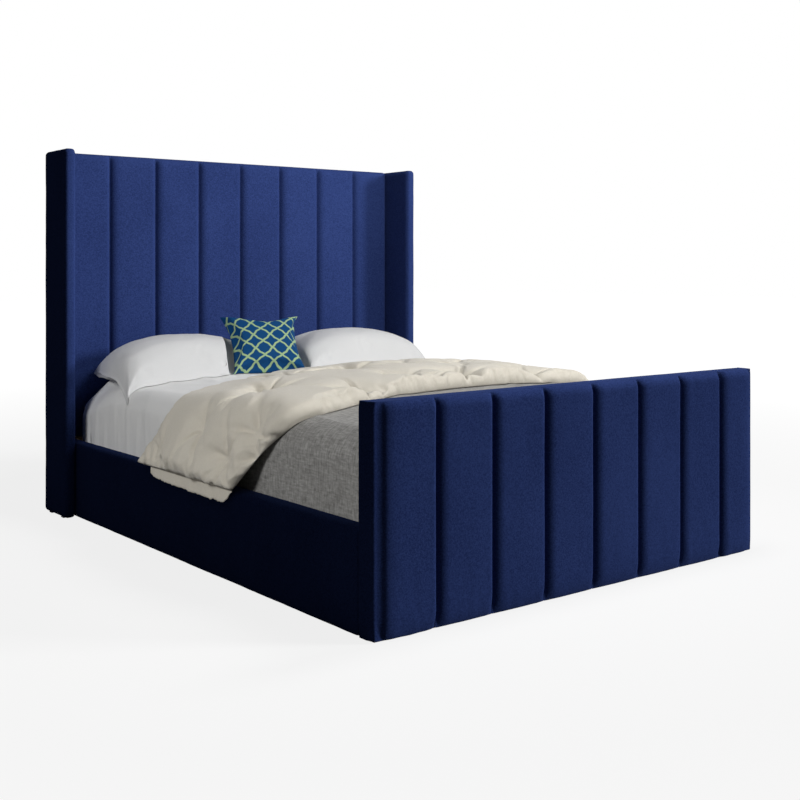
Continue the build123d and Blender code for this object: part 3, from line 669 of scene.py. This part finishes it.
# %% Padded block
def bevelled_block(name, corners, rounding, levels, cuts=0):
    """A block between two corners, with all its edges rounded."""
    low, high = [Vector(corner) for corner in corners]
    bpy.ops.object.select_all(action="DESELECT")
    bpy.ops.mesh.primitive_cube_add(size=1, location=(low + high) / 2)
    piece = bpy.context.object
    piece.name = name
    piece.scale = high - low
    bpy.ops.object.transform_apply(location=True, rotation=False, scale=True)
    bpy.ops.object.mode_set(mode="EDIT")
    bpy.ops.mesh.select_all(action="SELECT")
    bpy.ops.mesh.bevel(offset=rounding, segments=levels, affect="EDGES")
    if cuts:
        bpy.ops.mesh.subdivide(number_cuts=cuts)
    bpy.ops.object.mode_set(mode="OBJECT")
    return piece


def padded_block(name, corners, rounding, voxel, crown, seed):
    """A board's wrapped form, with an even skin that rises and falls by a small crown."""
    piece = bevelled_block(name, corners, rounding, levels=5)
    modify(piece, "REMESH", mode="VOXEL", voxel_size=voxel)
    modify(piece, "SMOOTH", factor=0.5, iterations=4)
    ease(piece, crown, 5.0, seed)
    ease(piece, crown * 0.5, 22.0, seed + 2)
    return piece


# %% Wings and side rails
for kind, rounding, voxel, seed in (("wing", 0.014, 0.007, 11), ("side_rail", 0.012, 0.008, 17)):
    for side in ("left", "right"):
        node = f"{kind}_{side}_pad"
        wrapped = padded_block(f"{kind}_{side}_velvet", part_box(node), rounding, voxel, 0.0009, seed)
        dress(wrapped, "bed_frame", "navy_velvet", node)
    print(kind, "faces", len(wrapped.data.polygons))

# %% Borders, back pad and lining
for node, rounding, voxel in (
    ("headboard_top_border", 0.0045, 0.005),
    ("footboard_top_border", 0.0045, 0.005),
    ("footboard_back_pad", 0.004, 0.006),
):
    border = padded_block(f"{node}_cloth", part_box(node), rounding, voxel, 0.0004, 23)
    dress(border, "bed_frame", "navy_velvet", node)
node = "headboard_back_lining"
lining = bevelled_block(f"{node}_cloth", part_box(node), 0.0008, levels=2, cuts=5)
dress(lining, "bed_frame", "black_lining", node)
print("lining faces", len(lining.data.polygons))

# %% [markdown]
# ## Pieces that rest on others
# The points of a soft piece that would lie inside the piece that carries it, or nearer to it
# than a small gap, come straight out to that gap.


# %% Keep clear
def surface_of(piece):
    return BVHTree.FromObject(piece, bpy.context.evaluated_depsgraph_get())


def keep_clear(points, carrier, gap, reach=0.2):
    """Points that lie inside the carrier, or nearer than the gap, come out to the gap."""
    cleared = points.copy()
    for number, point in enumerate(points):
        place, normal, _, _ = carrier.find_nearest(Vector(point), reach)
        if place is not None and (Vector(point) - place).dot(normal) < gap:
            cleared[number] = place + normal * gap
    return cleared


# %% [markdown]
# ## Mattress, fitted sheet and grey cover
# The mattress node is copied, its doubles merged and its skin evened out by a remesh. The
# sheet and the cover are cut from copies of the same skin, moved outwards by their own
# thickness, and wrinkled: small pleats down the sides and long pulled creases on the top. The
# cover lies on the sheet. Both corners at the head slump a little under the pillows.


# %% Mattress skin
MATTRESS_VOXEL, CLOTH_VOXEL = 0.016, 0.011
SLUMP = 0.085
SLUMP_ACROSS, SLUMP_ALONG = 0.16, 0.34
SIDE_DEPTH = 0.25


def mattress_skin(name, voxel):
    """An even copy of the mattress node's form."""
    piece = bpy.data.objects.new(name, frame["nodes"]["mattress"].data.copy())
    bpy.context.scene.collection.objects.link(piece)
    recalculate(piece)
    modify(piece, "REMESH", mode="VOXEL", voxel_size=voxel)
    modify(piece, "SMOOTH", factor=0.5, iterations=6)
    return piece


mattress_low, mattress_high = [np.array(corner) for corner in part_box("mattress")]


def slumped(points):
    """Lowers the upper corners at the head, most at the very corner."""
    side = np.clip(1 - (mattress_high[0] - np.abs(points[:, 0])) / SLUMP_ACROSS, 0, 1)
    end = np.clip(1 - (mattress_high[1] - points[:, 1]) / SLUMP_ALONG, 0, 1)
    up = np.clip((points[:, 2] - mattress_low[2]) / SIDE_DEPTH, 0, 1)
    moved = points.copy()
    moved[:, 2] -= SLUMP * (smooth(side) * smooth(end) * up)
    return moved


def cut_at(piece, place, normal):
    """Cuts a piece at a plane and drops what lies on the normal's side."""
    take(piece)
    bpy.ops.object.mode_set(mode="EDIT")
    bpy.ops.mesh.select_all(action="SELECT")
    bpy.ops.mesh.bisect(plane_co=place, plane_no=normal, clear_outer=True)
    bpy.ops.object.mode_set(mode="OBJECT")


mattress = mattress_skin("mattress_block", MATTRESS_VOXEL)
put_points(mattress, slumped(points_of(mattress)))
dress(mattress, "mattress", "mattress_ticking", "mattress")
print("mattress faces", len(mattress.data.polygons))


# %% Sheet and cover
TOP_WAVE = 0.0014
END_PLAY = 0.0035
COVER_GAP = 0.0022


def stretched_cloth(name, outside, seed, pleats, gather):
    """A cloth over the mattress, pleated on its sides and creased on its top."""
    piece = mattress_skin(name, CLOTH_VOXEL)
    points, outward = points_of(piece), normals_of(piece)
    sides = np.clip(1 - np.abs(outward[:, 2]), 0, 1) ** 2
    drop = np.clip((mattress_high[2] - points[:, 2]) / SIDE_DEPTH, 0, 1)
    along = points[:, 0] + points[:, 1]
    folds = np.stack([along * 17, along * 0, points[:, 2] * 2.4], 1)
    fine = np.stack([along * 46, along * 0, points[:, 2] * 5.0], 1)
    wave = pleats * sides * (0.4 + 0.6 * drop) * slow_noise(folds, 1.0, seed)
    wave += 0.4 * pleats * sides * slow_noise(fine, 1.0, seed + 1)
    wave += TOP_WAVE * (1 - sides) * slow_noise(points, (3.0, 5.0, 3.0), seed + 2)
    ridge = 1 - np.abs(slow_noise(points, (5.0, 2.2, 4.0), seed + 3)) * 2
    wave += gather * (1 - sides) * np.clip(ridge, 0, 1) ** 3
    put_points(piece, points + outward * (outside + wave)[:, None])
    return piece


hem_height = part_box("fitted_sheet")[0][2]
sheet_cloth = stretched_cloth("fitted_sheet_cloth", outside=0.0045, seed=41, pleats=0.0090, gather=0.0080)
sheet_points = slumped(points_of(sheet_cloth))
sheet_points[:, 1] = np.clip(sheet_points[:, 1], None, mattress_high[1] + END_PLAY)
put_points(sheet_cloth, sheet_points)
cut_at(sheet_cloth, (0, 0, hem_height), (0, 0, -1))
cover_cloth = stretched_cloth("grey_cover_cloth", outside=0.0090, seed=53, pleats=0.0080, gather=0.0012)
put_points(cover_cloth, slumped(points_of(cover_cloth)))
cut_at(cover_cloth, (0, 0, hem_height), (0, 0, -1))
cut_at(cover_cloth, (0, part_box("foot_cover")[1][1], 0), (0, 1, 0))
sheet_surface = surface_of(sheet_cloth)
put_points(cover_cloth, keep_clear(points_of(cover_cloth), sheet_surface, COVER_GAP))
dress(sheet_cloth, "mattress", "sheet_cotton", "fitted_sheet")
dress(cover_cloth, "mattress", "grey_cotton", "foot_cover")


def area_of(piece):
    return sum(face.area for face in piece.data.polygons)


print("sheet area", round(area_of(sheet_cloth), 3), "cover area", round(area_of(cover_cloth), 3))

# %% [markdown]
# ## Filling
# Cases and quilts are filled by Blender's Cloth with a little air pressure. The cloth is cut
# somewhat larger than the space it may fill, so it buckles into creases along its seams and
# round its stitches, as sewn cloth does. No point may travel further than a cap.


# %% Inflate
STIFFNESS = 12.0


def inflate(piece, pressure, spare, cap, pinned=None, frames=20):
    """Fills a piece with air until its spare cloth creases, and keeps the result."""
    start = points_of(piece)
    take(piece)
    cloth = piece.modifiers.new("filling", "CLOTH")
    settings = cloth.settings
    settings.quality = 5
    settings.mass = 0.25
    settings.tension_stiffness = STIFFNESS
    settings.compression_stiffness = STIFFNESS
    settings.shear_stiffness = STIFFNESS / 2
    settings.bending_stiffness = 0.2
    settings.use_pressure = True
    settings.uniform_pressure_force = pressure
    settings.shrink_min = -spare
    settings.effector_weights.gravity = 0
    if pinned is not None:
        group = piece.vertex_groups.new(name="stitches")
        group.add([int(v) for v in np.nonzero(pinned)[0]], 1.0, "REPLACE")
        settings.vertex_group_mass = group.name
    cloth.point_cache.frame_start = 1
    cloth.point_cache.frame_end = frames
    for number in range(1, frames + 1):
        bpy.context.scene.frame_set(number)
    bpy.ops.object.modifier_apply(modifier=cloth.name)
    piece.vertex_groups.clear()
    moved = points_of(piece) - start
    length = np.linalg.norm(moved, axis=1)
    share = np.minimum(1, cap / np.maximum(length, 1e-6))
    put_points(piece, start + moved * share[:, None])
    bpy.context.scene.frame_set(1)
    print(piece.name, "moved", round(float(length.max()), 4))


# %% [markdown]
# ## Comforter
# A quilt folded in two lies aslant across the bed and hangs over both rails. It is drawn as a
# line across the bed with a foot edge and a head edge at each place of that line. Small tufts
# hold the top cloth down, creases run out from each of them like a star, and the filling
# swells between them. The head edge lies flat and thin, the foot edge is the rolled fold.


# %% Comforter line
QUILT_SHARES = np.array([1.013, 0.946, 0.882, 0.61, 0.305, 0, -0.305, -0.61, -0.882, -0.946, -1.013])
QUILT_DROPS = np.array([256, 111, 39, 15, 2, 0, 2, 15, 39, 111, 256]) / 1000
QUILT_FOOT = np.array([-331, -352, -363, -381, -401, -421, -466, -540, -596, -500, -385]) / 1000
QUILT_HEAD = np.array([530, 520, 515, 490, 445, 385, 300, 205, 140, 160, 262]) / 1000
HALF_WIDTH = 0.819
CREST = 0.5503
MATTRESS_MIDDLE = float(mattress_low[1] + mattress_high[1]) / 2
QUILT_ROWS, QUILT_COLUMNS = 270, 112


def softened(values, spread):
    """Smooths a line of values and keeps its ends."""
    reach = int(spread * 3)
    weights = np.exp(-(np.arange(-reach, reach + 1) ** 2) / (2 * spread**2))
    first = 2 * values[0] - values[1 : reach + 1][::-1]
    last = 2 * values[-1] - values[-reach - 1 : -1][::-1]
    return np.convolve(np.concatenate([first, values, last]), weights / weights.sum(), "valid")


line_x = QUILT_SHARES * HALF_WIDTH
line_z = CREST - QUILT_DROPS
run = np.concatenate([[0], np.cumsum(np.hypot(np.diff(line_x), np.diff(line_z)))])
along = np.linspace(0, run[-1], QUILT_ROWS)
quilt_x = softened(np.interp(along, run, line_x), 4.0)
quilt_z = softened(np.interp(along, run, line_z), 4.0)
quilt_foot = softened(np.interp(along, run, QUILT_FOOT), 6.0) + MATTRESS_MIDDLE
quilt_head = softened(np.interp(along, run, QUILT_HEAD), 6.0) + MATTRESS_MIDDLE
turned = np.stack([np.gradient(quilt_z), -np.gradient(quilt_x)], 1)
turned /= np.linalg.norm(turned, axis=1)[:, None]
print("quilt line", round(float(run[-1]), 3))

# %% Tufts and their creases
TUFTS = [
    (-0.79, -0.46), (-0.60, -0.18), (-0.37, 0.06), (-0.40, -0.43), (-0.13, 0.02), (-0.12, -0.28),
    (0.14, 0.07), (0.12, -0.31), (0.04, 0.31), (0.33, -0.10), (0.31, 0.30), (0.45, 0.12),
    (0.46, -0.30), (0.62, 0.36), (0.71, -0.08), (0.66, 0.16), (0.80, 0.20), (0.81, -0.22),
]
DRAPE_TUFTS = [(0.157, -0.10), (0.085, -0.31), (0.050, 0.126), (0.175, -0.42)]
CREASE_DEPTH = 0.026
CREASE_REACH = 0.100
CREASE_START, CREASE_FULL = 0.004, 0.022

share_v =np.linspace(0, 1, QUILT_COLUMNS)
length_v = (quilt_head - quilt_foot)[:, None]
grid_y = quilt_foot[:, None] + length_v * share_v[None, :]
grid_u = np.repeat(along[:, None], QUILT_COLUMNS, 1)
from_foot = share_v[None, :] * length_v
from_head = (1 - share_v[None, :]) * length_v
from_end = np.minimum(grid_u, run[-1] - grid_u)
from_edge = np.minimum.reduce([from_foot, from_head, from_end])
tufts = [(float(np.interp(-x, -quilt_x, along)), y) for x, y in TUFTS]
tufts = np.array(tufts + [(run[-1] - up, y) for up, y in DRAPE_TUFTS])
gaps = np.hypot(grid_u[..., None] - tufts[:, 0], grid_y[..., None] - tufts[:, 1])
nearest_tuft = gaps.min(2)
star = np.zeros_like(grid_u)
for number, (u, y) in enumerate(tufts):
    gap = gaps[..., number]
    angle = np.arctan2(grid_y - y, grid_u - u)
    bent = angle + 0.35 * np.sin(angle * 2 + number) + number * 0.9 + gap * 3.0
    rays = (0.5 + 0.5 * np.cos(bent * (4 + number % 3))) ** 7
    length = CREASE_REACH * (0.8 + 0.5 * ((number * 7) % 5) / 5)
    star += rays * np.exp(-((gap / length) ** 2)) * ramp(gap, CREASE_START, CREASE_FULL)
print("tufts", len(tufts), "deepest crease", round(float(star.max()) * CREASE_DEPTH, 4))

# %% Comforter top
EDGE_HEIGHT, BASE_DROP = 0.011, 0.0095
TUFT_HEIGHT, PUFF_HEIGHT, CLOUD_HEIGHT = 0.004, 0.040, 0.009
RIM_REACH, PUFF_REACH = 0.030, 0.062
DRAWN_HEIGHT, DRAWN_REACH = 0.0045, 0.10
STITCH_REACH, SEAM_REACH = 0.009, 0.006
flat_points = np.stack([grid_u, grid_y, np.zeros_like(grid_u)], 2).reshape(-1, 3)
cloudy = slow_noise(flat_points, (4.5, 4.5, 1.0), 71).reshape(grid_u.shape)
drawn_in = slow_noise(flat_points, (9.0, 46.0, 1.0), 75).reshape(grid_u.shape)
rim = np.sqrt(1 - (1 - np.clip(from_edge / RIM_REACH, 0, 1)) ** 2)
puff = 1 - np.exp(-((nearest_tuft / PUFF_REACH) ** 2))
loft = 0.25 + 0.75 * ramp(from_head, 0.02, 0.34)
loft = loft * (0.72 + 0.28 * ramp(from_end, 0.05, 0.45))
top_height = EDGE_HEIGHT + (TUFT_HEIGHT + PUFF_HEIGHT * puff * loft + CLOUD_HEIGHT * cloudy * loft) * rim
top_height -= CREASE_DEPTH * star * loft * rim
top_height += DRAWN_HEIGHT * drawn_in * np.exp(-((from_end / DRAWN_REACH) ** 2)) * rim
base_height = EDGE_HEIGHT - BASE_DROP * rim


def lifted(height):
    """The quilt's points at a height above its line."""
    x = quilt_x[:, None] + turned[:, 0][:, None] * height
    z = quilt_z[:, None] + turned[:, 1][:, None] * height
    return np.stack([x, grid_y, z], 2)


quilt_top = skin("comforter_top", lifted(top_height), around=False, capped=False)
held = ((nearest_tuft < STITCH_REACH) | (from_edge < SEAM_REACH)).ravel()
if normals_of(quilt_top)[:, 2].sum() < 0:
    quilt_top.data.flip_normals()
inflate(quilt_top, pressure=2.0, spare=0.085, cap=0.014, pinned=held, frames=22)
top_points = points_of(quilt_top).reshape(QUILT_ROWS, QUILT_COLUMNS, 3)
print("highest", round(float(top_points[..., 2].max()), 3))

# %% Comforter body
QUILT_GAP = 0.0015
cover_surface = surface_of(cover_cloth)
base_points = keep_clear(lifted(base_height).reshape(-1, 3), cover_surface, QUILT_GAP)
base_points = keep_clear(base_points, sheet_surface, QUILT_GAP).reshape(top_points.shape)
rows = np.concatenate([top_points, base_points[:, ::-1][:, 1:-1]], 1)
comforter = skin("comforter_quilt", rows)
recalculate(comforter)
bpy.data.objects.remove(quilt_top)

# %% [markdown]
# Where the quilt is folded, its lower half reaches further down than the upper one. It shows
# below the puffed hem as a thin ruffled edge.

# %% Lower half
RUFFLE_TOP = 0.330
RUFFLE_FOOT, RUFFLE_HEAD = -0.362, 0.190
RIGHT_SHIFT = 0.10
RUFFLE_OUT, RUFFLE_FLARE, RUFFLE_WAVE = 0.010, 0.004, 0.0045
RUFFLE_THICKNESS = 0.0028
HEM_DIP, HEAD_RISE, FRAYED_RISE = 0.005, 0.014, 0.0040
END_RISE, END_RISE_REACH = 0.008, 0.03
FOOT_RISE, FOOT_RISE_REACH = 0.030, 0.060
hem_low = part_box("comforter")[0][2] + 0.002
for side in (-1, 1):
    place = np.linspace(RUFFLE_FOOT, RUFFLE_HEAD, 150)
    place = place + (RIGHT_SHIFT if side > 0 else 0.0)
    hem_line = np.stack([place, place * 0, place * 0], 1)
    wave = slow_noise(hem_line, 22.0, 83 + side) + 0.5 * slow_noise(hem_line, 61.0, 89 + side)
    frayed = FRAYED_RISE * slow_noise(hem_line, 70.0, 91 + side)
    from_start = place - place[0]
    ends = ramp(np.minimum(from_start, place[-1] - place), 0.0, END_RISE_REACH)
    along_hem = from_start / (place[-1] - place[0])
    low_edge = hem_low - HEM_DIP + HEAD_RISE * along_hem**3 + frayed + END_RISE * (1 - ends)
    low_edge = low_edge + FOOT_RISE * (1 - ramp(from_start, 0.0, FOOT_RISE_REACH))
    front, behind = [], []
    for drop in np.linspace(0, 1, 14):
        out = HALF_WIDTH + RUFFLE_OUT + RUFFLE_WAVE * wave * drop + RUFFLE_FLARE * drop
        height = RUFFLE_TOP + (low_edge - RUFFLE_TOP) * drop
        front.append(np.stack([side * out, place, height], 1))
        behind.append(np.stack([side * (out - RUFFLE_THICKNESS), place, height], 1))
    loops = np.concatenate([np.array(front), np.array(behind)[::-1]], 0).transpose(1, 0, 2)
    ruffle = skin(f"comforter_ruffle_{side}", loops)
    recalculate(ruffle)
    take(comforter)
    ruffle.select_set(True)
    bpy.ops.object.join()
dress(comforter, "comforter", "comforter_linen", "comforter")
print("comforter faces", len(comforter.data.polygons))

# %% [markdown]
# ## Pillows and cushion
# A case is two panels sewn together along their edges. Drawn flat, its sides bow in between
# the corners because the filling takes up length there, and its corners stay thin and sharp.


# %% Case shape
CASE_ROUND, CASE_FULL = 2.4, 0.62
SEAM_HALF = 0.001


def case(name, half, waist, rise, fall, counts, flap=0.0):
    """Two panels sewn together, full in the middle, with a print map; it lies level."""
    spread = []
    for count in counts:
        bend = np.linspace(-0.5, 0.5, count) * math.pi * 0.8
        spread.append(np.sin(bend) / math.sin(0.4 * math.pi))
    across, down = np.meshgrid(spread[0], spread[1], indexing="ij")
    x = across * (half[0] - waist * (1 - down**2))
    y = down * (half[1] - waist * (1 - across**2))
    filled = np.where(across < 0, np.clip(across / (1 - flap), -1, 0), across)
    inward = 1 - np.abs(filled) ** CASE_ROUND
    full = (np.clip(inward, 0, 1) * (1 - np.abs(down) ** CASE_ROUND)) ** CASE_FULL
    upper = np.stack([x, y, rise * full + SEAM_HALF], 2)
    lower = np.stack([x, y, -fall * full - SEAM_HALF], 2)
    columns, lines = counts
    print_place = [(values + 1) / 2 for values in spread]

    def vertex(spot, panel):
        return panel * columns * lines + spot[0] * lines + spot[1]

    def on_print(spot):
        return print_place[0][spot[0]], print_place[1][spot[1]]

    faces, maps = [], []
    for panel in (0, 1):
        for column in range(columns - 1):
            for line in range(lines - 1):
                spots = [(column, line), (column + 1, line), (column + 1, line + 1), (column, line + 1)]
                if panel:
                    spots.reverse()
                faces.append([vertex(spot, panel) for spot in spots])
                maps += [on_print(spot) for spot in spots]
    rim = [(column, 0) for column in range(columns)]
    rim += [(columns - 1, line) for line in range(1, lines)]
    rim += [(column, lines - 1) for column in range(columns - 2, -1, -1)]
    rim += [(0, line) for line in range(lines - 2, 0, -1)]
    for spot, after in zip(rim, rim[1:] + rim[:1]):
        faces.append([vertex(spot, 0), vertex(spot, 1), vertex(after, 1), vertex(after, 0)])
        maps += [on_print(spot)] * 2 + [on_print(after)] * 2
    mesh = bpy.data.meshes.new(name)
    mesh.from_pydata(np.concatenate([upper.reshape(-1, 3), lower.reshape(-1, 3)]).tolist(), [], faces)
    layer_map = mesh.uv_layers.new(name="print")
    layer_map.data.foreach_set("uv", np.array(maps, float).ravel())
    piece = bpy.data.objects.new(name, mesh)
    bpy.context.scene.collection.objects.link(piece)
    take(piece)
    bpy.ops.object.mode_set(mode="EDIT")
    bpy.ops.mesh.select_all(action="SELECT")
    bpy.ops.mesh.normals_make_consistent(inside=False)
    bpy.ops.object.mode_set(mode="OBJECT")
    return piece


# %% Cushion
CUSHION_HALF = 0.170
CUSHION_PLACE = np.array([-0.096, 0.652, 0.647])
TOP_DENT = 0.026
DENT_MIDDLE, DENT_REACH = 0.2, 0.42
REST_GAP = 0.002
lean, turn_angle = math.radians(46), math.radians(-19.2)
lean_matrix = np.array(
    [[1, 0, 0], [0, math.cos(lean), -math.sin(lean)], [0, math.sin(lean), math.cos(lean)]]
)
turn_matrix = np.array(
    [
        [math.cos(turn_angle), -math.sin(turn_angle), 0],
        [math.sin(turn_angle), math.cos(turn_angle), 0],
        [0, 0, 1],
    ]
)
cushion_axes = turn_matrix @ lean_matrix
half_sides = (CUSHION_HALF, CUSHION_HALF)
cushion = case("cushion_case", half_sides, waist=0.016, rise=0.046, fall=0.046, counts=(52, 52))
inflate(cushion, pressure=5.0, spare=0.05, cap=0.020)
flat_case = points_of(cushion)
dented = np.clip(flat_case[:, 1] / CUSHION_HALF, 0, 1) ** 2
from_dent = (flat_case[:, 0] / CUSHION_HALF - DENT_MIDDLE) / DENT_REACH
flat_case[:, 1] -= TOP_DENT * dented * np.exp(-(from_dent**2))
stood = flat_case @ cushion_axes.T + CUSHION_PLACE
put_points(cushion, keep_clear(stood, sheet_surface, REST_GAP))
modify(cushion, "SUBSURF", levels=1, render_levels=1)
dress(cushion, "cushion", "cushion_print", "cushion")

# %% [markdown]
# The pillows' outer ends are open cases: the filling stops short, and the thin end droops over
# the mattress's edge, most at its front corner.

# %% Pillows
END_SHARE = 0.70
END_DROOP = 0.014
CORNER_DROOP = 0.062
FRONT_SPARE = 0.068
FRONT_DROP = 0.034
BACK_TUCK = 0.075
SEAM_HEIGHT = 0.556
END_PAST = 0.010
CRUMPLE, END_CRUMPLE = 0.0022, 0.006
CUSHION_BACK, CUSHION_BACK_GAP = 0.050, 0.006
SIDE_WITHIN, SIDE_PAST = 0.022, 0.004
CUSHION_GAP, CUSHION_NEAR = 0.0015, 0.06
cushion_surface = surface_of(cushion)


def behind_cushion(points):
    """Moves what lies before the cushion's back straight towards the head, to behind it."""
    local = (points - CUSHION_PLACE) @ cushion_axes
    share = local[:, :2] / CUSHION_HALF
    full = np.clip(1 - np.abs(share) ** CASE_ROUND, 0, 1).prod(1) ** CASE_FULL
    beyond = local[:, 2] + CUSHION_BACK * full + CUSHION_BACK_GAP
    weight = 1 - ramp(np.abs(local[:, 0]), CUSHION_HALF - SIDE_WITHIN, CUSHION_HALF + SIDE_PAST)
    moved = points.copy()
    moved[:, 1] += np.clip(beyond, 0, None) * weight / -cushion_axes[1, 2]
    return moved


for side_name, side in (("left", -1), ("right", 1)):
    node = f"pillow_{side_name}"
    low, high = [np.array(corner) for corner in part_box(node)]
    low[1] -= FRONT_SPARE
    half = (high - low) / 2
    middle = (low + high) / 2
    pillow = case(
        f"{node}_case", (half[0], half[1]), waist=0.014, rise=0.132, fall=0.020, counts=(96, 58), flap=0.03
    )
    points = points_of(pillow)
    if side > 0:
        points[:, 0] *= -1
        put_points(pillow, points)
        pillow.data.flip_normals()
    inflate(pillow, pressure=4.0, spare=0.06, cap=0.016)
    points = points_of(pillow)
    outer = np.clip(side * points[:, 0] / half[0], -1, 1)
    forward = np.clip(-points[:, 1] / half[1], -1, 1)
    end = np.clip((outer - END_SHARE) / (1 - END_SHARE), 0, 1) ** 2
    points[:, 2] -= end * (END_DROOP + CORNER_DROOP * ramp(forward, 0.1, 1.0))
    points[:, 2] -= FRONT_DROP * ramp(forward, 0.45, 1.0)
    points[:, 0] -= side * BACK_TUCK * ramp(-forward, -0.1, 1.0) * np.clip(outer, 0, 1) ** 2
    points += np.array([middle[0], middle[1], SEAM_HEIGHT])
    points[:, 0] = np.clip(points[:, 0], low[0] - END_PAST, high[0] + END_PAST)
    crumpled = CRUMPLE * slow_noise(points, (14.0, 22.0, 14.0), 95 + side)
    crumpled += END_CRUMPLE * end * slow_noise(points, (8.0, 26.0, 8.0), 97 + side)
    points[:, 2] += crumpled
    points = behind_cushion(points)
    points = keep_clear(points, sheet_surface, REST_GAP)
    points = keep_clear(points, cushion_surface, CUSHION_GAP, CUSHION_NEAR)
    put_points(pillow, points)
    modify(pillow, "SUBSURF", levels=1, render_levels=1)
    dress(pillow, "pillows", "pillow_cotton", node)
print("pillow faces", len(pillow.data.polygons))

# %% [markdown]
# The photo's velvet sides are nearly black beside well-lit bedding, so the bedding has its own
# lamps, and the other lamps reach the velvet and the floor only.

# %% Light linking
bedding_cloths = (sheet_white, pillow_white, cover_grey, comforter_cream, cushion_print)
bedding, velvet_and_floor = [bpy.data.collections.new(name) for name in ("bedding", "velvet_and_floor")]
for piece in [one for one in bpy.data.objects if one.type == "MESH"]:
    is_bedding = bool(piece.data.materials) and piece.data.materials[0] in bedding_cloths
    (bedding if is_bedding else velvet_and_floor).objects.link(piece)
for lamps, receivers in ((frame_lamps, velvet_and_floor), (bedding_lamps, bedding)):
    for one in lamps:
        one.light_linking.receiver_collection = receivers
